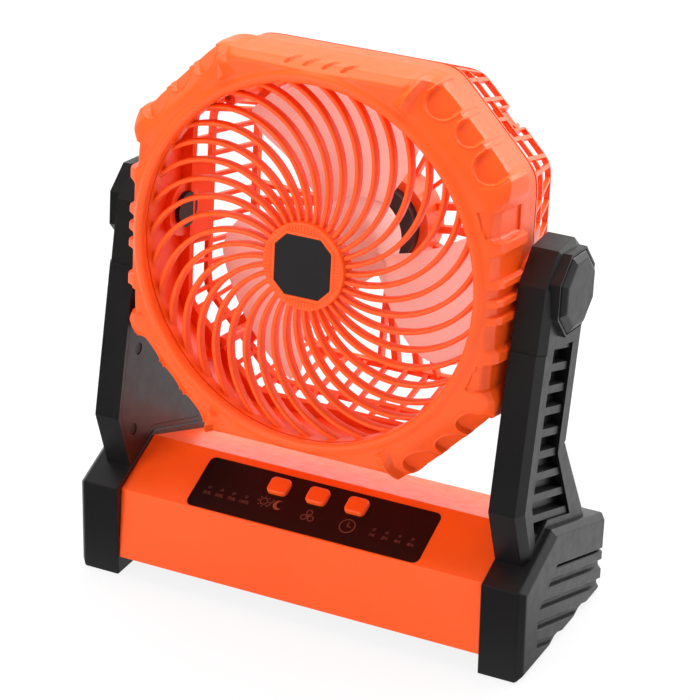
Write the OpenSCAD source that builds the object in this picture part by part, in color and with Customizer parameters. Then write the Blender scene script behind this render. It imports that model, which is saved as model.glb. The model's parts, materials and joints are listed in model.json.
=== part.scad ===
// Rechargeable tabletop camping fan: an octagonal fan head that tilts in a two-arm yoke
// on a box-shaped battery base with ribbed end feet and a sloped control panel.
// Millimetres. X to the right, Y to the back, Z up; the origin is on the floor, mid-object.

/* [Overall] */
// Width over the two end feet
overall_w = 250; // [235:1:280]
// From the origin forward to the front edge of the feet
front_reach = 64.1; // [56:0.1:72]
// Tilt of the head away from upright, face upwards
head_tilt = 7.5; // [0:0.5:30]

/* [Feet] */
// Thickness of a foot along X
foot_t = 23; // [20:0.5:26]
// Length of a foot on the floor
foot_len = 99; // [90:1:110]
// Height of the foot's front face
foot_front_h = 49.5; // [46:0.5:54]
// Backward lean of the front face over its height
foot_lean = 3; // [1:0.5:6]
// From the foot's front edge back to the ridge
ridge_back = 41; // [36:0.5:46]
// Height of the foot's ridge
foot_ridge_h = 65.5; // [64:0.5:70]
// From the foot's front edge back to its rear top edge
foot_rear_back = 103.5; // [98:0.1:112]
// Height of the foot's rear top edge
foot_rear_h = 42.5; // [39:0.5:48]
// Bevel round the foot's outer face
foot_bevel = 3; // [1:0.5:4]
// Width of a grip groove
groove_w = 4.8; // [3:0.1:5.4]
// Depth of a grip groove
groove_d = 3; // [1:0.5:5]
// Distance between grip grooves
groove_pitch = 10.2; // [9:0.1:11]
// Grip grooves on a foot
groove_n = 4; // [3:1:4]
// Plain band in front of the grooves
groove_margin = 19.5; // [16:0.5:24]
// How far the rubber pads stand below the feet
pad_proud = 0.8; // [0.4:0.1:1.5]
// Thickness of a pad
pad_t = 2.2; // [1.8:0.1:3]
// Length of a pad
pad_len = 24; // [18:1:30]
// Width of a pad
pad_w = 11; // [8:0.5:14]

/* [Base box] */
// Wall of the base box
wall = 2.5; // [2:0.1:3]
// Height of the box's underside over the floor
base_lift = 10.5; // [8:0.5:14]
// Front bottom edge, behind the feet's front
base_toe = 2; // [1:0.5:4]
// Front top edge, behind the feet's front
base_brow = 7.5; // [6:0.5:10]
// Height of the front top edge
base_front_h = 47.8; // [45:0.1:49]
// Height of the ridge behind the panel
base_ridge_h = 62.6; // [60:0.1:63.5]
// Rear face, behind the feet's front
base_back = 98.5; // [94:0.5:99]
// Height of the rear top edge
base_rear_h = 39.5; // [37:0.5:42]
// Thickness of the bottom cover
cover_t = 2; // [1.5:0.1:3]
// Screw post, across
post_w = 9; // [7:0.5:11]

/* [Control panel] */
// Width of the control plate
plate_w = 130.5; // [120:0.5:140]
// Height of the control plate along the slope
plate_h = 31.4; // [29:0.1:32]
// Thickness of the control plate
plate_t = 1.6; // [1.2:0.1:2]
// Corner radius of the control plate
plate_r = 3.5; // [2:0.5:5]
// How far the plate stands over its recess
plate_proud = 0.3; // [0.1:0.1:0.6]
// Ledge under the edge of the plate
ledge_w = 1.5; // [1:0.1:2]
// Width of a button
button_w = 13; // [11:0.5:15]
// Height of a button along the slope
button_h = 10.6; // [9:0.1:12]
// Distance between buttons
button_pitch = 21.9; // [18:0.1:26]
// Corner chamfer of a button
button_k = 3; // [1:0.1:4]
// How far a button stands over the plate
button_rise = 2.4; // [1.5:0.1:3.5]
// Travel of a button
button_travel = 0.8; // [0.4:0.1:1]
// Lights in each row
led_n = 4; // [3:1:4]
// Distance between lights
led_pitch = 7.1; // [5:0.1:8]
// From the middle to the first light
led_first = 36; // [33:0.5:38]
// Radius of a light window
led_r = 0.85; // [0.6:0.05:1]
// Length of the circuit board
board_l = 122; // [116:1:126]
// Width of the circuit board
board_w = 24; // [22:0.5:26]

/* [Battery] */
// Radius of a battery cell
cell_r = 9.1; // [8.5:0.1:9.3]
// Length of a battery cell
cell_l = 65; // [60:0.5:70]
// Distance between the rows of cells
cell_pitch = 21; // [20:0.5:24]

/* [Yoke] */
// Lean of the arms from upright
arm_lean = 15.5; // [12:0.5:18]
// Width of an arm
arm_w = 50; // [46:0.5:54]
// Thickness of an arm
arm_t = 16.8; // [15:0.1:18]
// From the end of the base box out to an arm's inner face
arm_step = 0.7; // [0.5:0.1:1.5]
// Height of the tilt axis
pivot_z = 184; // [178:1:196]
// From the front of the feet back to the tilt axis
pivot_back = 62; // [58:0.5:66]
// From the tilt axis down to the front kink of an arm
front_kink = 108; // [100:1:112]
// From the tilt axis down to the rear kink of an arm
rear_kink = 78; // [70:1:86]
// Depth of the ladder windows
window_d = 6; // [3:0.5:8]
// Distance between ladder rungs
rung_pitch = 10.7; // [9:0.1:13]
// Thickness of a ladder rung
rung_t = 3.6; // [2.5:0.1:5]
// Tilt of the rungs from square across the arm
rung_tilt = 5; // [0:0.5:8]
// Ledge across the arm's front below the hinge
arm_ledge = 1; // [0.4:0.1:1.5]
// From the tilt axis down to that ledge
ledge_down = 29; // [24:0.5:36]
// Rim beside the ladder
rim_w = 13; // [11:0.5:15]
// Bevel of an arm's outer edges, across the edge face
arm_bevel_w = 5; // [2:0.5:7]
// Bevel of an arm's outer edges, along X
arm_bevel_x = 3; // [1:0.5:5]
// Thickness of an arm's inner cover
arm_cover_t = 2.6; // [2:0.1:3.5]
// Rim of the arm round its inner cover
arm_cover_rim = 2.4; // [1.5:0.1:4]

/* [Tilt hinge] */
// Radius of the pivot shafts
shaft_r = 6; // [4:0.5:7]
// Radius of the hinge boss on the head
boss_r = 14; // [11:0.5:17]
// From the arm's inner face in to the hinge boss
boss_gap = 2.2; // [1.6:0.1:3]
// Radius of the nut pocket in an arm
pocket_r = 13; // [11:0.5:14]
// Depth of the nut pocket
pocket_d = 7; // [6:0.5:8]
// Half width of a pivot cap across its flats
cap_w = 18.8; // [17:0.1:19]
// Lean of a pivot cap from upright
cap_lean = 7.5; // [0:0.5:15]
// Height of the collar round a pivot cap
collar_h = 3; // [1.5:0.1:3.5]
// How far a pivot cap stands over the arm
cap_rise = 5.5; // [4:0.5:5.5]

/* [Fan head] */
// From an arm's inner face in to the head's flat sides
head_gap = 4.7; // [4:0.1:6]
// How much further out the corner facets lie than the flat sides
corner_out = 12.5; // [10:0.5:14]
// Narrowing of the flat sides from the cheeks to the seam
seam_in = 0.5; // [0.3:0.1:2]
// Narrowing of the corner facets from the cheeks to the seam
seam_corner_in = 4.5; // [4:0.1:6]
// Narrowing of the flat sides from the seam to the rear
rear_in = 15.5; // [13:0.1:16]
// Narrowing of the corner facets from the seam to the rear
rear_corner_in = 18.5; // [16:0.1:19]
// How much of the octagon's sharp corners is rounded away
blunt = 1.8; // [1:0.1:2.4]
// From the tilt axis forward to the bezel's face
face_y = 43; // [41:0.5:46]
// From the tilt axis back to the seam between bezel and cage
seam_y = 3; // [2:0.1:5]
// From the tilt axis back to the cage's rear face
rear_y = 56; // [54:0.5:60]
// Wall of the bezel and cage
shell_t = 2.6; // [2:0.1:3]
// Width of the bezel from its round opening to the flat sides
bezel_w = 9.2; // [8.6:0.1:11]
// Radius of a finger cup in the corner facets
cup_r = 8; // [6:0.5:9]
// Distance between finger cups
cup_pitch = 18.4; // [18:0.1:19]
// Depth of a finger cup
cup_d = 2.2; // [1:0.1:2.4]
// How far the knuckles at the octagon's corners stand over the flat sides
knuckle_h = 3; // [1:0.5:3.5]
// Height of the side grip ribs
grip_h = 3; // [1:0.5:3.5]
// Distance between side grip ribs
grip_pitch = 8.6; // [7:0.1:10]
// Distance between the cage's side bars
bar_pitch = 11.6; // [10:0.1:14]
// Width of the cage's bars
bar_w = 2.6; // [2:0.1:3.5]
// Width of the cage's middle band
band_w = 2.8; // [2.4:0.1:4]
// Length of the slots in front of the middle band
front_slot = 16.4; // [14:0.1:18]

/* [Spiral grille] */
// Spiral ribs
rib_n = 36; // [28:1:40]
// Angle that a rib's arc turns through
rib_sweep = 106.7; // [96:0.1:112]
// Width of a rib
rib_w = 2.4; // [1.8:0.1:2.8]
// Depth of a rib
rib_d = 5; // [3.5:0.1:6]
// Drop of the grille from its hub to its rim
rib_drop = 6; // [3:0.5:8]
// Radius of the grille's hub
hub_r = 22; // [20:0.5:24]
// Half width of the hub badge
badge_f = 15; // [12:0.5:16]
// From the hub's middle out to the badge's corner facets
badge_c = 17; // [14.5:0.5:18]

/* [Rear grille] */
// Width of a rear spoke
spoke_w = 2; // [1.5:0.1:3]
// Depth of a rear spoke
spoke_t = 5; // [3:0.5:6]
// Turn of the motor arms from level and upright
arm_turn = 9; // [0:1:15]
// Rear spokes
spoke_n = 16; // [12:4:24]

/* [Fan and motor] */
// Blades on the fan
blade_n = 3; // [3:1:5]
// From the bezel's opening in to the blade tips
tip_gap = 8.8; // [7.5:0.1:12]
// Thickness of a blade
blade_t = 1.8; // [1.4:0.1:2.4]
// Axial height of a blade at its root
blade_root_h = 24; // [16:0.5:24]
// Axial height of a blade at its tip
blade_tip_h = 18; // [10:0.5:20]
// Radius of the fan's hub
fan_hub_r = 21; // [18:0.5:24]
// Length of the fan's hub
fan_hub_l = 27.5; // [25:0.5:30]
// From the tilt axis back to the middle of the blades
blade_y = 5.8; // [4:0.1:9]
// Radius of the motor
motor_r = 21; // [18:0.5:22]
// Length of the motor can
motor_l = 17; // [14:0.5:17]
// Radius of the motor shaft
motor_shaft_r = 2; // [1.5:0.1:2.5]
// Radius of the rear lamp
lamp_r = 24; // [20:0.5:25]

/* [Hidden] */

// Clearances: fitted pieces, running shafts, and pieces that only lie near each other
fit = 0.15;
run = 0.05;
near = 0.3;
eps = 0.02;
orange = "#ff6a2b";
black = "#2b2a2a";
steel = "#b9bcc0";

// Base and feet outlines in Y and Z, counter-clockwise from the front bottom corner
ff = -front_reach;
half_w = overall_w / 2;
base_half = half_w - foot_t;
foot_pts = [[ff, pad_proud], [ff + foot_len, pad_proud], [ff + foot_rear_back, foot_rear_h],
  [ff + ridge_back, foot_ridge_h], [ff + foot_lean, foot_front_h]];
base_pts = [[ff + base_toe, base_lift], [ff + base_back, base_lift], [ff + base_back, base_rear_h],
  [ff + ridge_back, base_ridge_h], [ff + base_brow, base_front_h]];
function foot_slope_z(y) = foot_front_h
  + (y - ff - foot_lean) * (foot_ridge_h - foot_front_h) / (ridge_back - foot_lean);
function foot_top_z(y) = foot_ridge_h
  + (y - ff - ridge_back) * (foot_rear_h - foot_ridge_h) / (foot_rear_back - ridge_back);
groove_top = 14.3;
groove_first = 18.4;
groove_first_w = 1.4;
// Share of a groove's width that its lower wall slopes over
groove_ramp = 0.35;
groove_slope = atan2(foot_rear_h - foot_ridge_h, foot_rear_back - ridge_back);

// The panel's own frame: along the slope, and out of it
panel_a = atan2(base_ridge_h - base_front_h, ridge_back - base_brow);
panel_l = norm([ridge_back - base_brow, base_ridge_h - base_front_h]);
plate_mid = panel_l / 2 - 1.6;
button_mid = plate_mid + plate_h * 0.23;
led_mid = plate_mid - plate_h * 0.09;
plate_under = plate_proud - plate_t;
flange_t = 1.3;
flange_lip = 1;
stem_l = 1.6;
stem_r = 2;
button_edge = 0.8;
board_t = 1.6;
switch_w = 6;
switch_h = 2;
key_r = 1.7;
key_h = 0.6;
chip_w = 2;
chip_h = 1;
board_top = plate_under - near - flange_t - stem_l - button_travel - switch_h - near;
board_mid = plate_mid + 1.6;
post_r = 2.6;
board_post_x = board_l / 2 - post_r - 1.4;
board_post_s = board_w / 2 - post_r - 0.6;
board_screw_r = 1;
window_x = board_post_x - post_r - 1;

// The pieces under the base box
floor_z = base_lift + cover_t;
cover_y0 = ff + base_toe + wall + 1.4;
cover_y1 = ff + base_back - wall - fit;
post_y = [ff + 24, ff + base_back - wall - post_w];
post_x = base_half - wall - post_w / 2;
cell_y = ff + 50;
cell_gap = 2;
cell_tip_r = 3;
cell_tip_l = 1;
tray_wall = 2;
tray_l = 2 * cell_l + cell_gap + 2 * (tray_wall + 1);
tray_w = cell_pitch + 2 * (cell_r + tray_wall);
tray_h = 9;
cell_z = floor_z + tray_wall + cell_r;
tray_slot_w = 6;
tray_slot_in = 10;
port_w = 9;
port_h = 3.3;
port_d = 7.5;
port_t = 0.4;
port_x = 60;
port_z = floor_z + 9;

// The arms in their own leaning frame: w across the arm, a along it, from the tilt axis
pivot_y = ff + pivot_back;
arm_in = base_half + arm_step;
arm_out = arm_in + arm_t;
function arm_pt(w, a) = [pivot_y + w * cos(arm_lean) + a * sin(arm_lean),
  pivot_z - w * sin(arm_lean) + a * cos(arm_lean)];
arm_top_z = pivot_z + 23;
arm_front_y = ff + 17.6;
arm_rear_y = ff + 92;
arm_pts = [[arm_front_y, foot_slope_z(arm_front_y)], [ff + ridge_back, foot_ridge_h],
  [arm_rear_y, foot_top_z(arm_rear_y)], arm_pt(arm_w / 2, -rear_kink), arm_pt(arm_w / 2, 12.6),
  [pivot_y + 10, arm_top_z], [pivot_y - 8, arm_top_z], arm_pt(arm_ledge - arm_w / 2, 3.2),
  arm_pt(arm_ledge - arm_w / 2, -ledge_down), arm_pt(-arm_w / 2, -ledge_down),
  arm_pt(-arm_w / 2, -front_kink)];
// The arm's outline steps out from this corner to the next
ledge_corner = 8;
ladder_top = -26.6;
ladder_foot = 4;
ladder_step = 1.2;
rung_draft = 1.5;
// The arm's outline, drawn down so that the ladder runs on to the foot
ladder_pts = [for (i = [0:len(arm_pts) - 1]) arm_pts[i] - [0, i < 3 ? rim_w : 0]];
ladder_n = 9;
arm_screw_at = [[-9, -116], [-12, -73], [12, -38]];
screw_r = 1.4;
screw_head_r = 3;
screw_head_h = 1.3;
screw_l = 9;
arm_screw_in = 0.4;
cap_gap = 0.5;
cap_slope = 3.4;
collar_w = 1.2;
spigot_l = 3;
spigot_t = 1.4;

// The head's outlines along its axis, as lists of [y, half width]
brow_y = face_y - 7;
crown_y = face_y - 12;
cheek_y = face_y - 19;
head_f = arm_in - head_gap;
head_c = head_f + corner_out;
crown_c = head_c - 0.5;
face_f = head_f - 3;
face_c = head_c - 12;
seam_f = head_f - seam_in;
seam_c = head_c - seam_corner_in;
rear_f = seam_f - rear_in;
rear_c = seam_c - rear_corner_in;
flat_side = [[-face_y, face_f], [-brow_y, head_f], [-cheek_y, head_f], [seam_y, seam_f]];
corner_side = [[-face_y, face_c], [-crown_y, crown_c], [-cheek_y, head_c], [seam_y, seam_c]];
cage_flat = [[seam_y, seam_f], [rear_y, rear_f]];
cage_corner = [[seam_y, seam_c], [rear_y, rear_c]];
corner_a = atan2(head_c * sqrt(2) - head_f, head_f);

// The hinge along X
boss_out = arm_in - boss_gap;
boss_in = seam_f - 6;
shaft_out = arm_out - 1;
shaft_flange_r = shaft_r + 3;
shaft_flange_t = 2.5;
washer_t = 1;
washer_r = pocket_r - 2;
nut_r = 9;
nut_t = 4.4;
nut_x = arm_out - pocket_d + run + washer_t;

// The bezel
opening_r = head_f - bezel_w;
rebate_y = face_y - 3;
// Lip round the opening: steps out from its edge and forward from the face
lip_steps = [[0.8, 1.8], [2.6, 2.4], [4.4, 1.6], [5.4, -1.4]];
lip_r = opening_r + 5.4;
cup_start = 5;
// Knuckles: angles from the octagon's corner back over the flat side and on over the facet
knuckle_near = 5.5;
knuckle_far = 0.8;
knuckle_c = 0.8;
knuckle_y = cheek_y - 9;
grip_w = 4.2;
grip_pad_w = 6;
grip_pad_z = 26.5;
grip_y = brow_y + 3;
grip_flat_y = 4;
grip_slope_y = 12;
grip_l = 30;
recess_z = 37.5;
recess_w = 13;
recess_d = 1.2;
recess_l = 16;
edge_notch_x = [-15, -5, 5, 15];
edge_notch_w = 2.6;
edge_notch_l = 7;
edge_notch_d = 1.2;
edge_notch_a = 25;

// The spiral grille: a rib's arc leaves the hub radially and ends inside the outer ring
grille_y = rebate_y - fit;
grille_ring_r = opening_r + 3.2;
grille_ring_d = 6;
hollow_y = rebate_y - grille_ring_d;
hub_face_y = face_y + 2;
hub_d = 9;
hub_edge = 1.5;
hub_frame_w = 1.6;
hub_frame_h = 0.3;
hub_top_r = hub_r - 2;
hub_tooth_n = 9;
hub_tooth_a = 5.4;
hub_tooth_w = 0.8;
hub_tooth_l = 1.7;
hub_tooth_h = 0.4;
badge_t = 1.2;
badge_proud = 0.2;
rib_start = hub_r - 2;
rib_end = opening_r + 1.6;
rib_edge = 0.8;
rib_turn = rib_start * sin(rib_sweep);
rib_bend = 2 * (1 - cos(rib_sweep));
rib_arc_r = (sqrt(rib_turn * rib_turn + rib_bend * (rib_end * rib_end - rib_start * rib_start)) - rib_turn)
  / rib_bend;
rib_chord = [rib_arc_r * sin(rib_sweep), rib_arc_r * (1 - cos(rib_sweep)), 0];
rib_sink = atan2(rib_drop, norm(rib_chord));
rib_sink_axis = [-rib_chord[1], rib_chord[0], 0];

// The cage: a flange, slots, the middle band, more slots and the rear rim
flange_y = seam_y + 3;
band_y = flange_y + front_slot;
band_end = band_y + band_w;
flange_w = 8;
lip_w = 5;
lip_t = 3;
hinge_wall = 21;
bar_margin = 3;
slot_w = bar_pitch - bar_w;
notch_w = 12;
notch_c = rear_c - 3;
well_t = 1.2;
well_y = band_y - 1;
well_end = band_end - 0.5;
slot_end = 0.4;
screw_c = notch_c + screw_head_r + 1.8;
screw_post_r = 3;
screw_post_y = -8;
gusset_t = 3;
spoke_back = 0.6;
spoke_in = motor_r + 3;
arm_bar_z = 6;
arm_bar_w = 3.5;
arm_bar_t = 4.4;
arm_bar_back = 1.1;

// The motor, the fan and the lamp along the head's axis
cup_wall = 5;
motor_back = rear_y - 4;
motor_front = motor_back - motor_l;
motor_wall = 1.5;
lamp_floor = rear_y - 2;
lamp_board_t = 1.2;
lamp_wire_r = 2;
lens_t = 1.1;
lens_back = lamp_floor + lamp_board_t + near;
// Lens: steps in from its edge and back from its rim
lens_steps = [[0, 1.9], [3.8, 3.5], [12, 4.5]];
lens_crown = 4.8;
wire_r = 4;
end_cap_t = 2.5;
bearing_r = 5;
bearing_t = 3;
rotor_r = motor_r - 5;
rotor_gap = 2;
fan_bore = 4;
fan_nose_l = 4;
fan_nose_in = 5;
fan_front = blade_y - 1 - fan_hub_l / 2;
fan_back = fan_front + fan_hub_l;
blade_r = opening_r - tip_gap;

$fn = 64;

// Shared shapes

// A Y-Z outline drawn out along X
module slab(x0, x1) translate([x0, 0, 0]) rotate([90, 0, 90]) linear_extrude(x1 - x0) children();

// An X-Z outline of the head drawn out along its axis
module axial(y0, y1) translate([0, y1, 0]) rotate([90, 0, 0]) linear_extrude(y1 - y0) children();

module rounded(w, h, r) {
  square([w - 2 * r, h], center = true);
  square([w, h - 2 * r], center = true);
  for (x = [-1, 1], y = [-1, 1]) translate([x * (w / 2 - r), y * (h / 2 - r)]) circle(r = r);
}

module chamfered(w, h, k) polygon([[w / 2 - k, -h / 2], [w / 2, k - h / 2], [w / 2, h / 2 - k],
  [w / 2 - k, h / 2], [k - w / 2, h / 2], [-w / 2, h / 2 - k], [-w / 2, k - h / 2], [k - w / 2, -h / 2]]);

module rod(r, x0, x1) translate([x0, 0, 0]) rotate([0, 90, 0]) cylinder(r = r, h = x1 - x0);

module axle(r, y0, y1) translate([0, y1, 0]) rotate([90, 0, 0]) cylinder(r = r, h = y1 - y0);

module on_panel() translate([0, ff + base_brow, base_front_h]) rotate([panel_a, 0, 0]) children();

module on_pivot() translate([0, pivot_y, pivot_z]) children();

module on_head() on_pivot() rotate([-head_tilt, 0, 0]) children();

module on_arm(w, a) let (p = arm_pt(w, a)) translate([0, p[0], p[1]]) children();

module both_sides() {
  children();
  mirror([1, 0, 0]) children();
}

// A screw along Z with its head's top at the origin
module screw(head_r, r, l) {
  translate([0, 0, -screw_head_h]) cylinder(r = head_r, h = screw_head_h);
  translate([0, 0, -l]) cylinder(r = r, h = l - screw_head_h + eps);
}

// Base box

module button_places() for (i = [-1:1]) translate([i * button_pitch, button_mid, 0]) children();

module light_places() for (s = [-1, 1], i = [0:led_n - 1])
  translate([s * (led_first + i * led_pitch), led_mid, 0]) children();

module base_screw_places() for (x = [-post_x, post_x], y = post_y) translate([x, y, base_lift]) children();

module base_housing() color(orange) difference() {
  union() {
    difference() {
      slab(-base_half, base_half) polygon(base_pts);
      slab(wall - base_half, base_half - wall) {
        offset(delta = -wall) polygon(base_pts);
        polygon([[cover_y0 - fit, base_lift - 1], [cover_y1 + fit, base_lift - 1],
          [cover_y1 + fit, floor_z + 3], [cover_y0 - fit, floor_z + 3]]);
      }
    }
    for (x = [-post_x, post_x], y = post_y) intersection() {
      translate([x - post_w / 2 - 1, y - post_w / 2, floor_z]) cube([post_w + 2, post_w, base_ridge_h]);
      slab(-base_half, base_half) polygon(base_pts);
    }
    on_panel() for (x = [-1, 1], s = [-1, 1])
      translate([x * board_post_x, board_mid + s * board_post_s, board_top])
        cylinder(r = post_r, h = plate_under - board_top - eps);
  }
  on_panel() {
    translate([0, plate_mid, plate_under]) linear_extrude(wall + 2)
      rounded(plate_w + 2 * fit, plate_h + 2 * fit, plate_r);
    translate([-window_x, plate_mid - plate_h / 2 + ledge_w, -wall - 2])
      cube([2 * window_x, plate_h - 2 * ledge_w, wall + 4]);
    light_places() translate([0, 0, -wall - 2]) cylinder(r = led_r + near, h = wall + 4);
  }
  base_screw_places() cylinder(r = screw_r + run, h = screw_l + 4);
  translate([port_x, ff + base_back, port_z]) rotate([90, 0, 0]) translate([0, 0, -1])
    linear_extrude(wall + 2) rounded(port_w + 2 * fit, port_h + 2 * fit, port_h / 2);
}

module base_bottom_cover() color(black) difference() {
  union() {
    translate([-base_half + wall + fit, cover_y0, base_lift])
      cube([2 * (base_half - wall - fit), cover_y1 - cover_y0, cover_t]);
    translate([port_x - port_w / 2, cover_y1 - port_d, floor_z - eps])
      cube([port_w, port_d - wall, port_z - port_h / 2 - floor_z + eps]);
  }
  base_screw_places() translate([0, 0, -1]) {
    cylinder(r = screw_r + fit, h = cover_t + 2);
    cylinder(r = screw_head_r + fit, h = screw_head_h + 1);
  }
}

module base_screws() color(steel) base_screw_places() mirror([0, 0, 1])
  screw(screw_head_r, screw_r, screw_l);

module control_plate() color("#171314") on_panel() translate([0, plate_mid, plate_under])
  linear_extrude(plate_t) difference() {
    rounded(plate_w, plate_h, plate_r);
    translate([0, -plate_mid]) {
      button_places() chamfered(button_w + 2 * near, button_h + 2 * near, button_k);
      light_places() circle(r = led_r + fit);
    }
  }

// A key through the plate, held from behind by its flange, with a stem over its switch
module push_button(i) on_panel() translate([i * button_pitch, button_mid, 0]) {
  edge_z = plate_proud + button_rise - button_edge;
  translate([0, 0, plate_under - near - eps]) linear_extrude(edge_z - plate_under + near + 2 * eps)
    chamfered(button_w, button_h, button_k);
  translate([0, 0, edge_z]) linear_extrude(button_edge, scale = 1 - 2 * button_edge / button_w)
    chamfered(button_w, button_h, button_k);
  translate([0, 0, plate_under - near - flange_t]) linear_extrude(flange_t)
    chamfered(button_w + 2 * flange_lip, button_h + 2 * flange_lip, button_k);
  translate([0, 0, plate_under - near - flange_t - stem_l]) cylinder(r = stem_r, h = stem_l + eps);
}

module light_button() color(orange) push_button(-1);

module speed_button() color(orange) push_button(0);

module timer_button() color(orange) push_button(1);

module circuit_board() color("#1f5a3a") on_panel() translate([0, board_mid, board_top - board_t])
  linear_extrude(board_t) difference() {
    square([board_l, board_w], center = true);
    for (x = [-1, 1], s = [-1, 1]) translate([x * board_post_x, s * board_post_s])
      circle(r = board_screw_r);
  }

module button_switches() color("#3a3a3c") on_panel() button_places() translate([0, 0, board_top]) {
  translate([-switch_w / 2, -switch_w / 2, 0]) cube([switch_w, switch_w, switch_h - key_h]);
  cylinder(r = key_r, h = switch_h);
}

module indicator_lights() color("#d8d4cc") on_panel() light_places() {
  translate([-chip_w / 2, -chip_w / 2, board_top]) cube([chip_w, chip_w, chip_h]);
  translate([0, 0, board_top]) cylinder(r = led_r, h = plate_proud - board_top);
}

module battery_places() for (x = [-1, 1], j = [-1, 1])
  translate([x * (cell_l + cell_gap) / 2, cell_y + j * cell_pitch / 2, cell_z]) children();

module battery_cells() color("#3d6ea8") battery_places() {
  rod(cell_r, -cell_l / 2, cell_l / 2 - cell_tip_l);
  rod(cell_tip_r, cell_l / 2 - cell_tip_l - eps, cell_l / 2);
}

module battery_tray() color("#3b3b3d") difference() {
  translate([-tray_l / 2, cell_y - tray_w / 2, floor_z]) cube([tray_l, tray_w, tray_h]);
  battery_places() rod(cell_r + fit, -cell_l / 2 - fit, cell_l / 2 + fit);
  translate([tray_slot_in - tray_l / 2, cell_y - tray_slot_w / 2, floor_z - 1])
    cube([tray_l - 2 * tray_slot_in, tray_slot_w, tray_h + 2]);
}

module charging_port() color(steel) translate([port_x, ff + base_back - 0.4, port_z]) rotate([90, 0, 0])
  difference() {
    linear_extrude(port_d) rounded(port_w, port_h, port_h / 2 - eps);
    translate([0, 0, -1]) linear_extrude(port_d)
      rounded(port_w - 2 * port_t, port_h - 2 * port_t, port_h / 2 - port_t - eps);
  }

// Feet

module pad_outline(grow) {
  square([pad_w + 2 * grow, pad_len - pad_w], center = true);
  for (s = [-1, 1]) translate([0, s * (pad_len - pad_w) / 2]) circle(r = pad_w / 2 + grow);
}

module pad_places() for (y = [ff + pad_len / 2 + 6, ff + foot_len - pad_len / 2 - 6])
  translate([base_half + foot_t / 2, y, 0]) children();

// Grooves that slope with the foot's top and run out at its rear and bottom edges
module grip_grooves() intersection() {
  slab(half_w - groove_d, half_w + 1) polygon([[ff + groove_margin, -1], [ff + 2 * foot_len, -1],
    [ff + 2 * foot_len, foot_ridge_h], [ff + ridge_back + 4, foot_ridge_h - 18],
    [ff + groove_margin, foot_front_h - 20]]);
  translate([half_w, ff + ridge_back, foot_ridge_h]) rotate([groove_slope, 0, 0]) {
    for (i = [1:groove_n]) groove(groove_top + i * groove_pitch, groove_w);
    groove(groove_first, groove_first_w);
  }
}

// One groove: square under the rib above it, sloping out to the rib below
module groove(down, w) translate([0, 2 * foot_len, -down]) rotate([90, 0, 0]) linear_extrude(3 * foot_len)
  polygon([[1, 0], [-groove_d - 1, 0], [-groove_d - 1, w * (groove_ramp - 1)], [0, -w], [1, -w]]);

module foot() difference() {
  hull() {
    slab(base_half, half_w - foot_bevel) polygon(foot_pts);
    slab(base_half, half_w) offset(delta = -foot_bevel) polygon(foot_pts);
  }
  grip_grooves();
  pad_places() linear_extrude(pad_t) pad_outline(fit);
}

module foot_right() color(black) foot();

module foot_left() color(black) mirror([1, 0, 0]) foot();

module foot_pads() color("#1c1c1d") both_sides() pad_places() linear_extrude(pad_t - eps) pad_outline(0);

// Yoke

// Bevel along one edge of the arm's outline, whose inside is on the left of p to q
module edge_bevel(p, q, before, after) translate([arm_out, p[0], p[1]])
  rotate([atan2(q[1] - p[1], q[0] - p[0]), 0, 0]) translate([0, norm(q - p) + after, 0]) rotate([90, 0, 0])
    linear_extrude(norm(q - p) + before + after) polygon([[arm_bevel_x / 2, arm_bevel_w * 1.5],
      [-arm_bevel_x * 1.5, -arm_bevel_w / 2], [arm_bevel_x / 2, -arm_bevel_w / 2]]);

// All outer edges but the two on the foot and the ledge itself
module edge_bevels() for (i = [2:len(arm_pts) - 1]) if (i != ledge_corner)
  edge_bevel(arm_pts[i], arm_pts[(i + 1) % len(arm_pts)], i == ledge_corner + 1 ? 0 : 4,
    i == ledge_corner - 1 ? 0 : 4);

module ladder_outline() intersection() {
  offset(delta = -rim_w) polygon(ladder_pts);
  offset(delta = -ladder_foot) polygon(arm_pts);
  translate(arm_pt(0, 0)) rotate(-arm_lean) translate([-arm_w, ladder_top - 200]) square([2 * arm_w, 200]);
}

module ladder_windows() {
  slab(arm_out - ladder_step, arm_out + 1) ladder_outline();
  intersection() {
    slab(arm_out - window_d, arm_out) ladder_outline();
    on_pivot() rotate([-arm_lean - rung_tilt, 0, 0]) for (i = [0:ladder_n + 1])
      translate([arm_out, arm_w, ladder_top - (i + 1) * rung_pitch + rung_t / 2]) rotate([90, 0, 0])
        linear_extrude(2 * arm_w) polygon([[1, 0], [1, rung_pitch - rung_t],
          [-window_d - 1, rung_pitch - rung_t], [-window_d - 1, rung_draft], [0, 0]]);
  }
}

module arm_screw_places() for (p = arm_screw_at) on_arm(p[0], p[1]) translate([arm_in, 0, 0])
  rotate([0, -90, 0]) children();

module on_cap() on_pivot() rotate([-cap_lean, 0, 0]) children();

module arm() difference() {
  union() {
    difference() {
      slab(arm_in, arm_out) polygon(arm_pts);
      edge_bevels();
    }
    on_cap() slab(arm_out - arm_bevel_x, arm_out + collar_h) polygon(cap_pts(-cap_gap - collar_w));
  }
  on_cap() slab(arm_out, arm_out + collar_h + 1) polygon(cap_pts(-cap_gap));
  ladder_windows();
  slab(arm_in - 1, arm_in + arm_cover_t) offset(delta = -arm_cover_rim) polygon(arm_pts);
  on_pivot() {
    rod(shaft_r + run, arm_in, arm_out + 1);
    rod(pocket_r, arm_out - pocket_d, arm_out + 1);
  }
  arm_screw_places() translate([0, 0, -screw_l - 1]) cylinder(r = screw_r + run, h = screw_l + 2);
}

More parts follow.
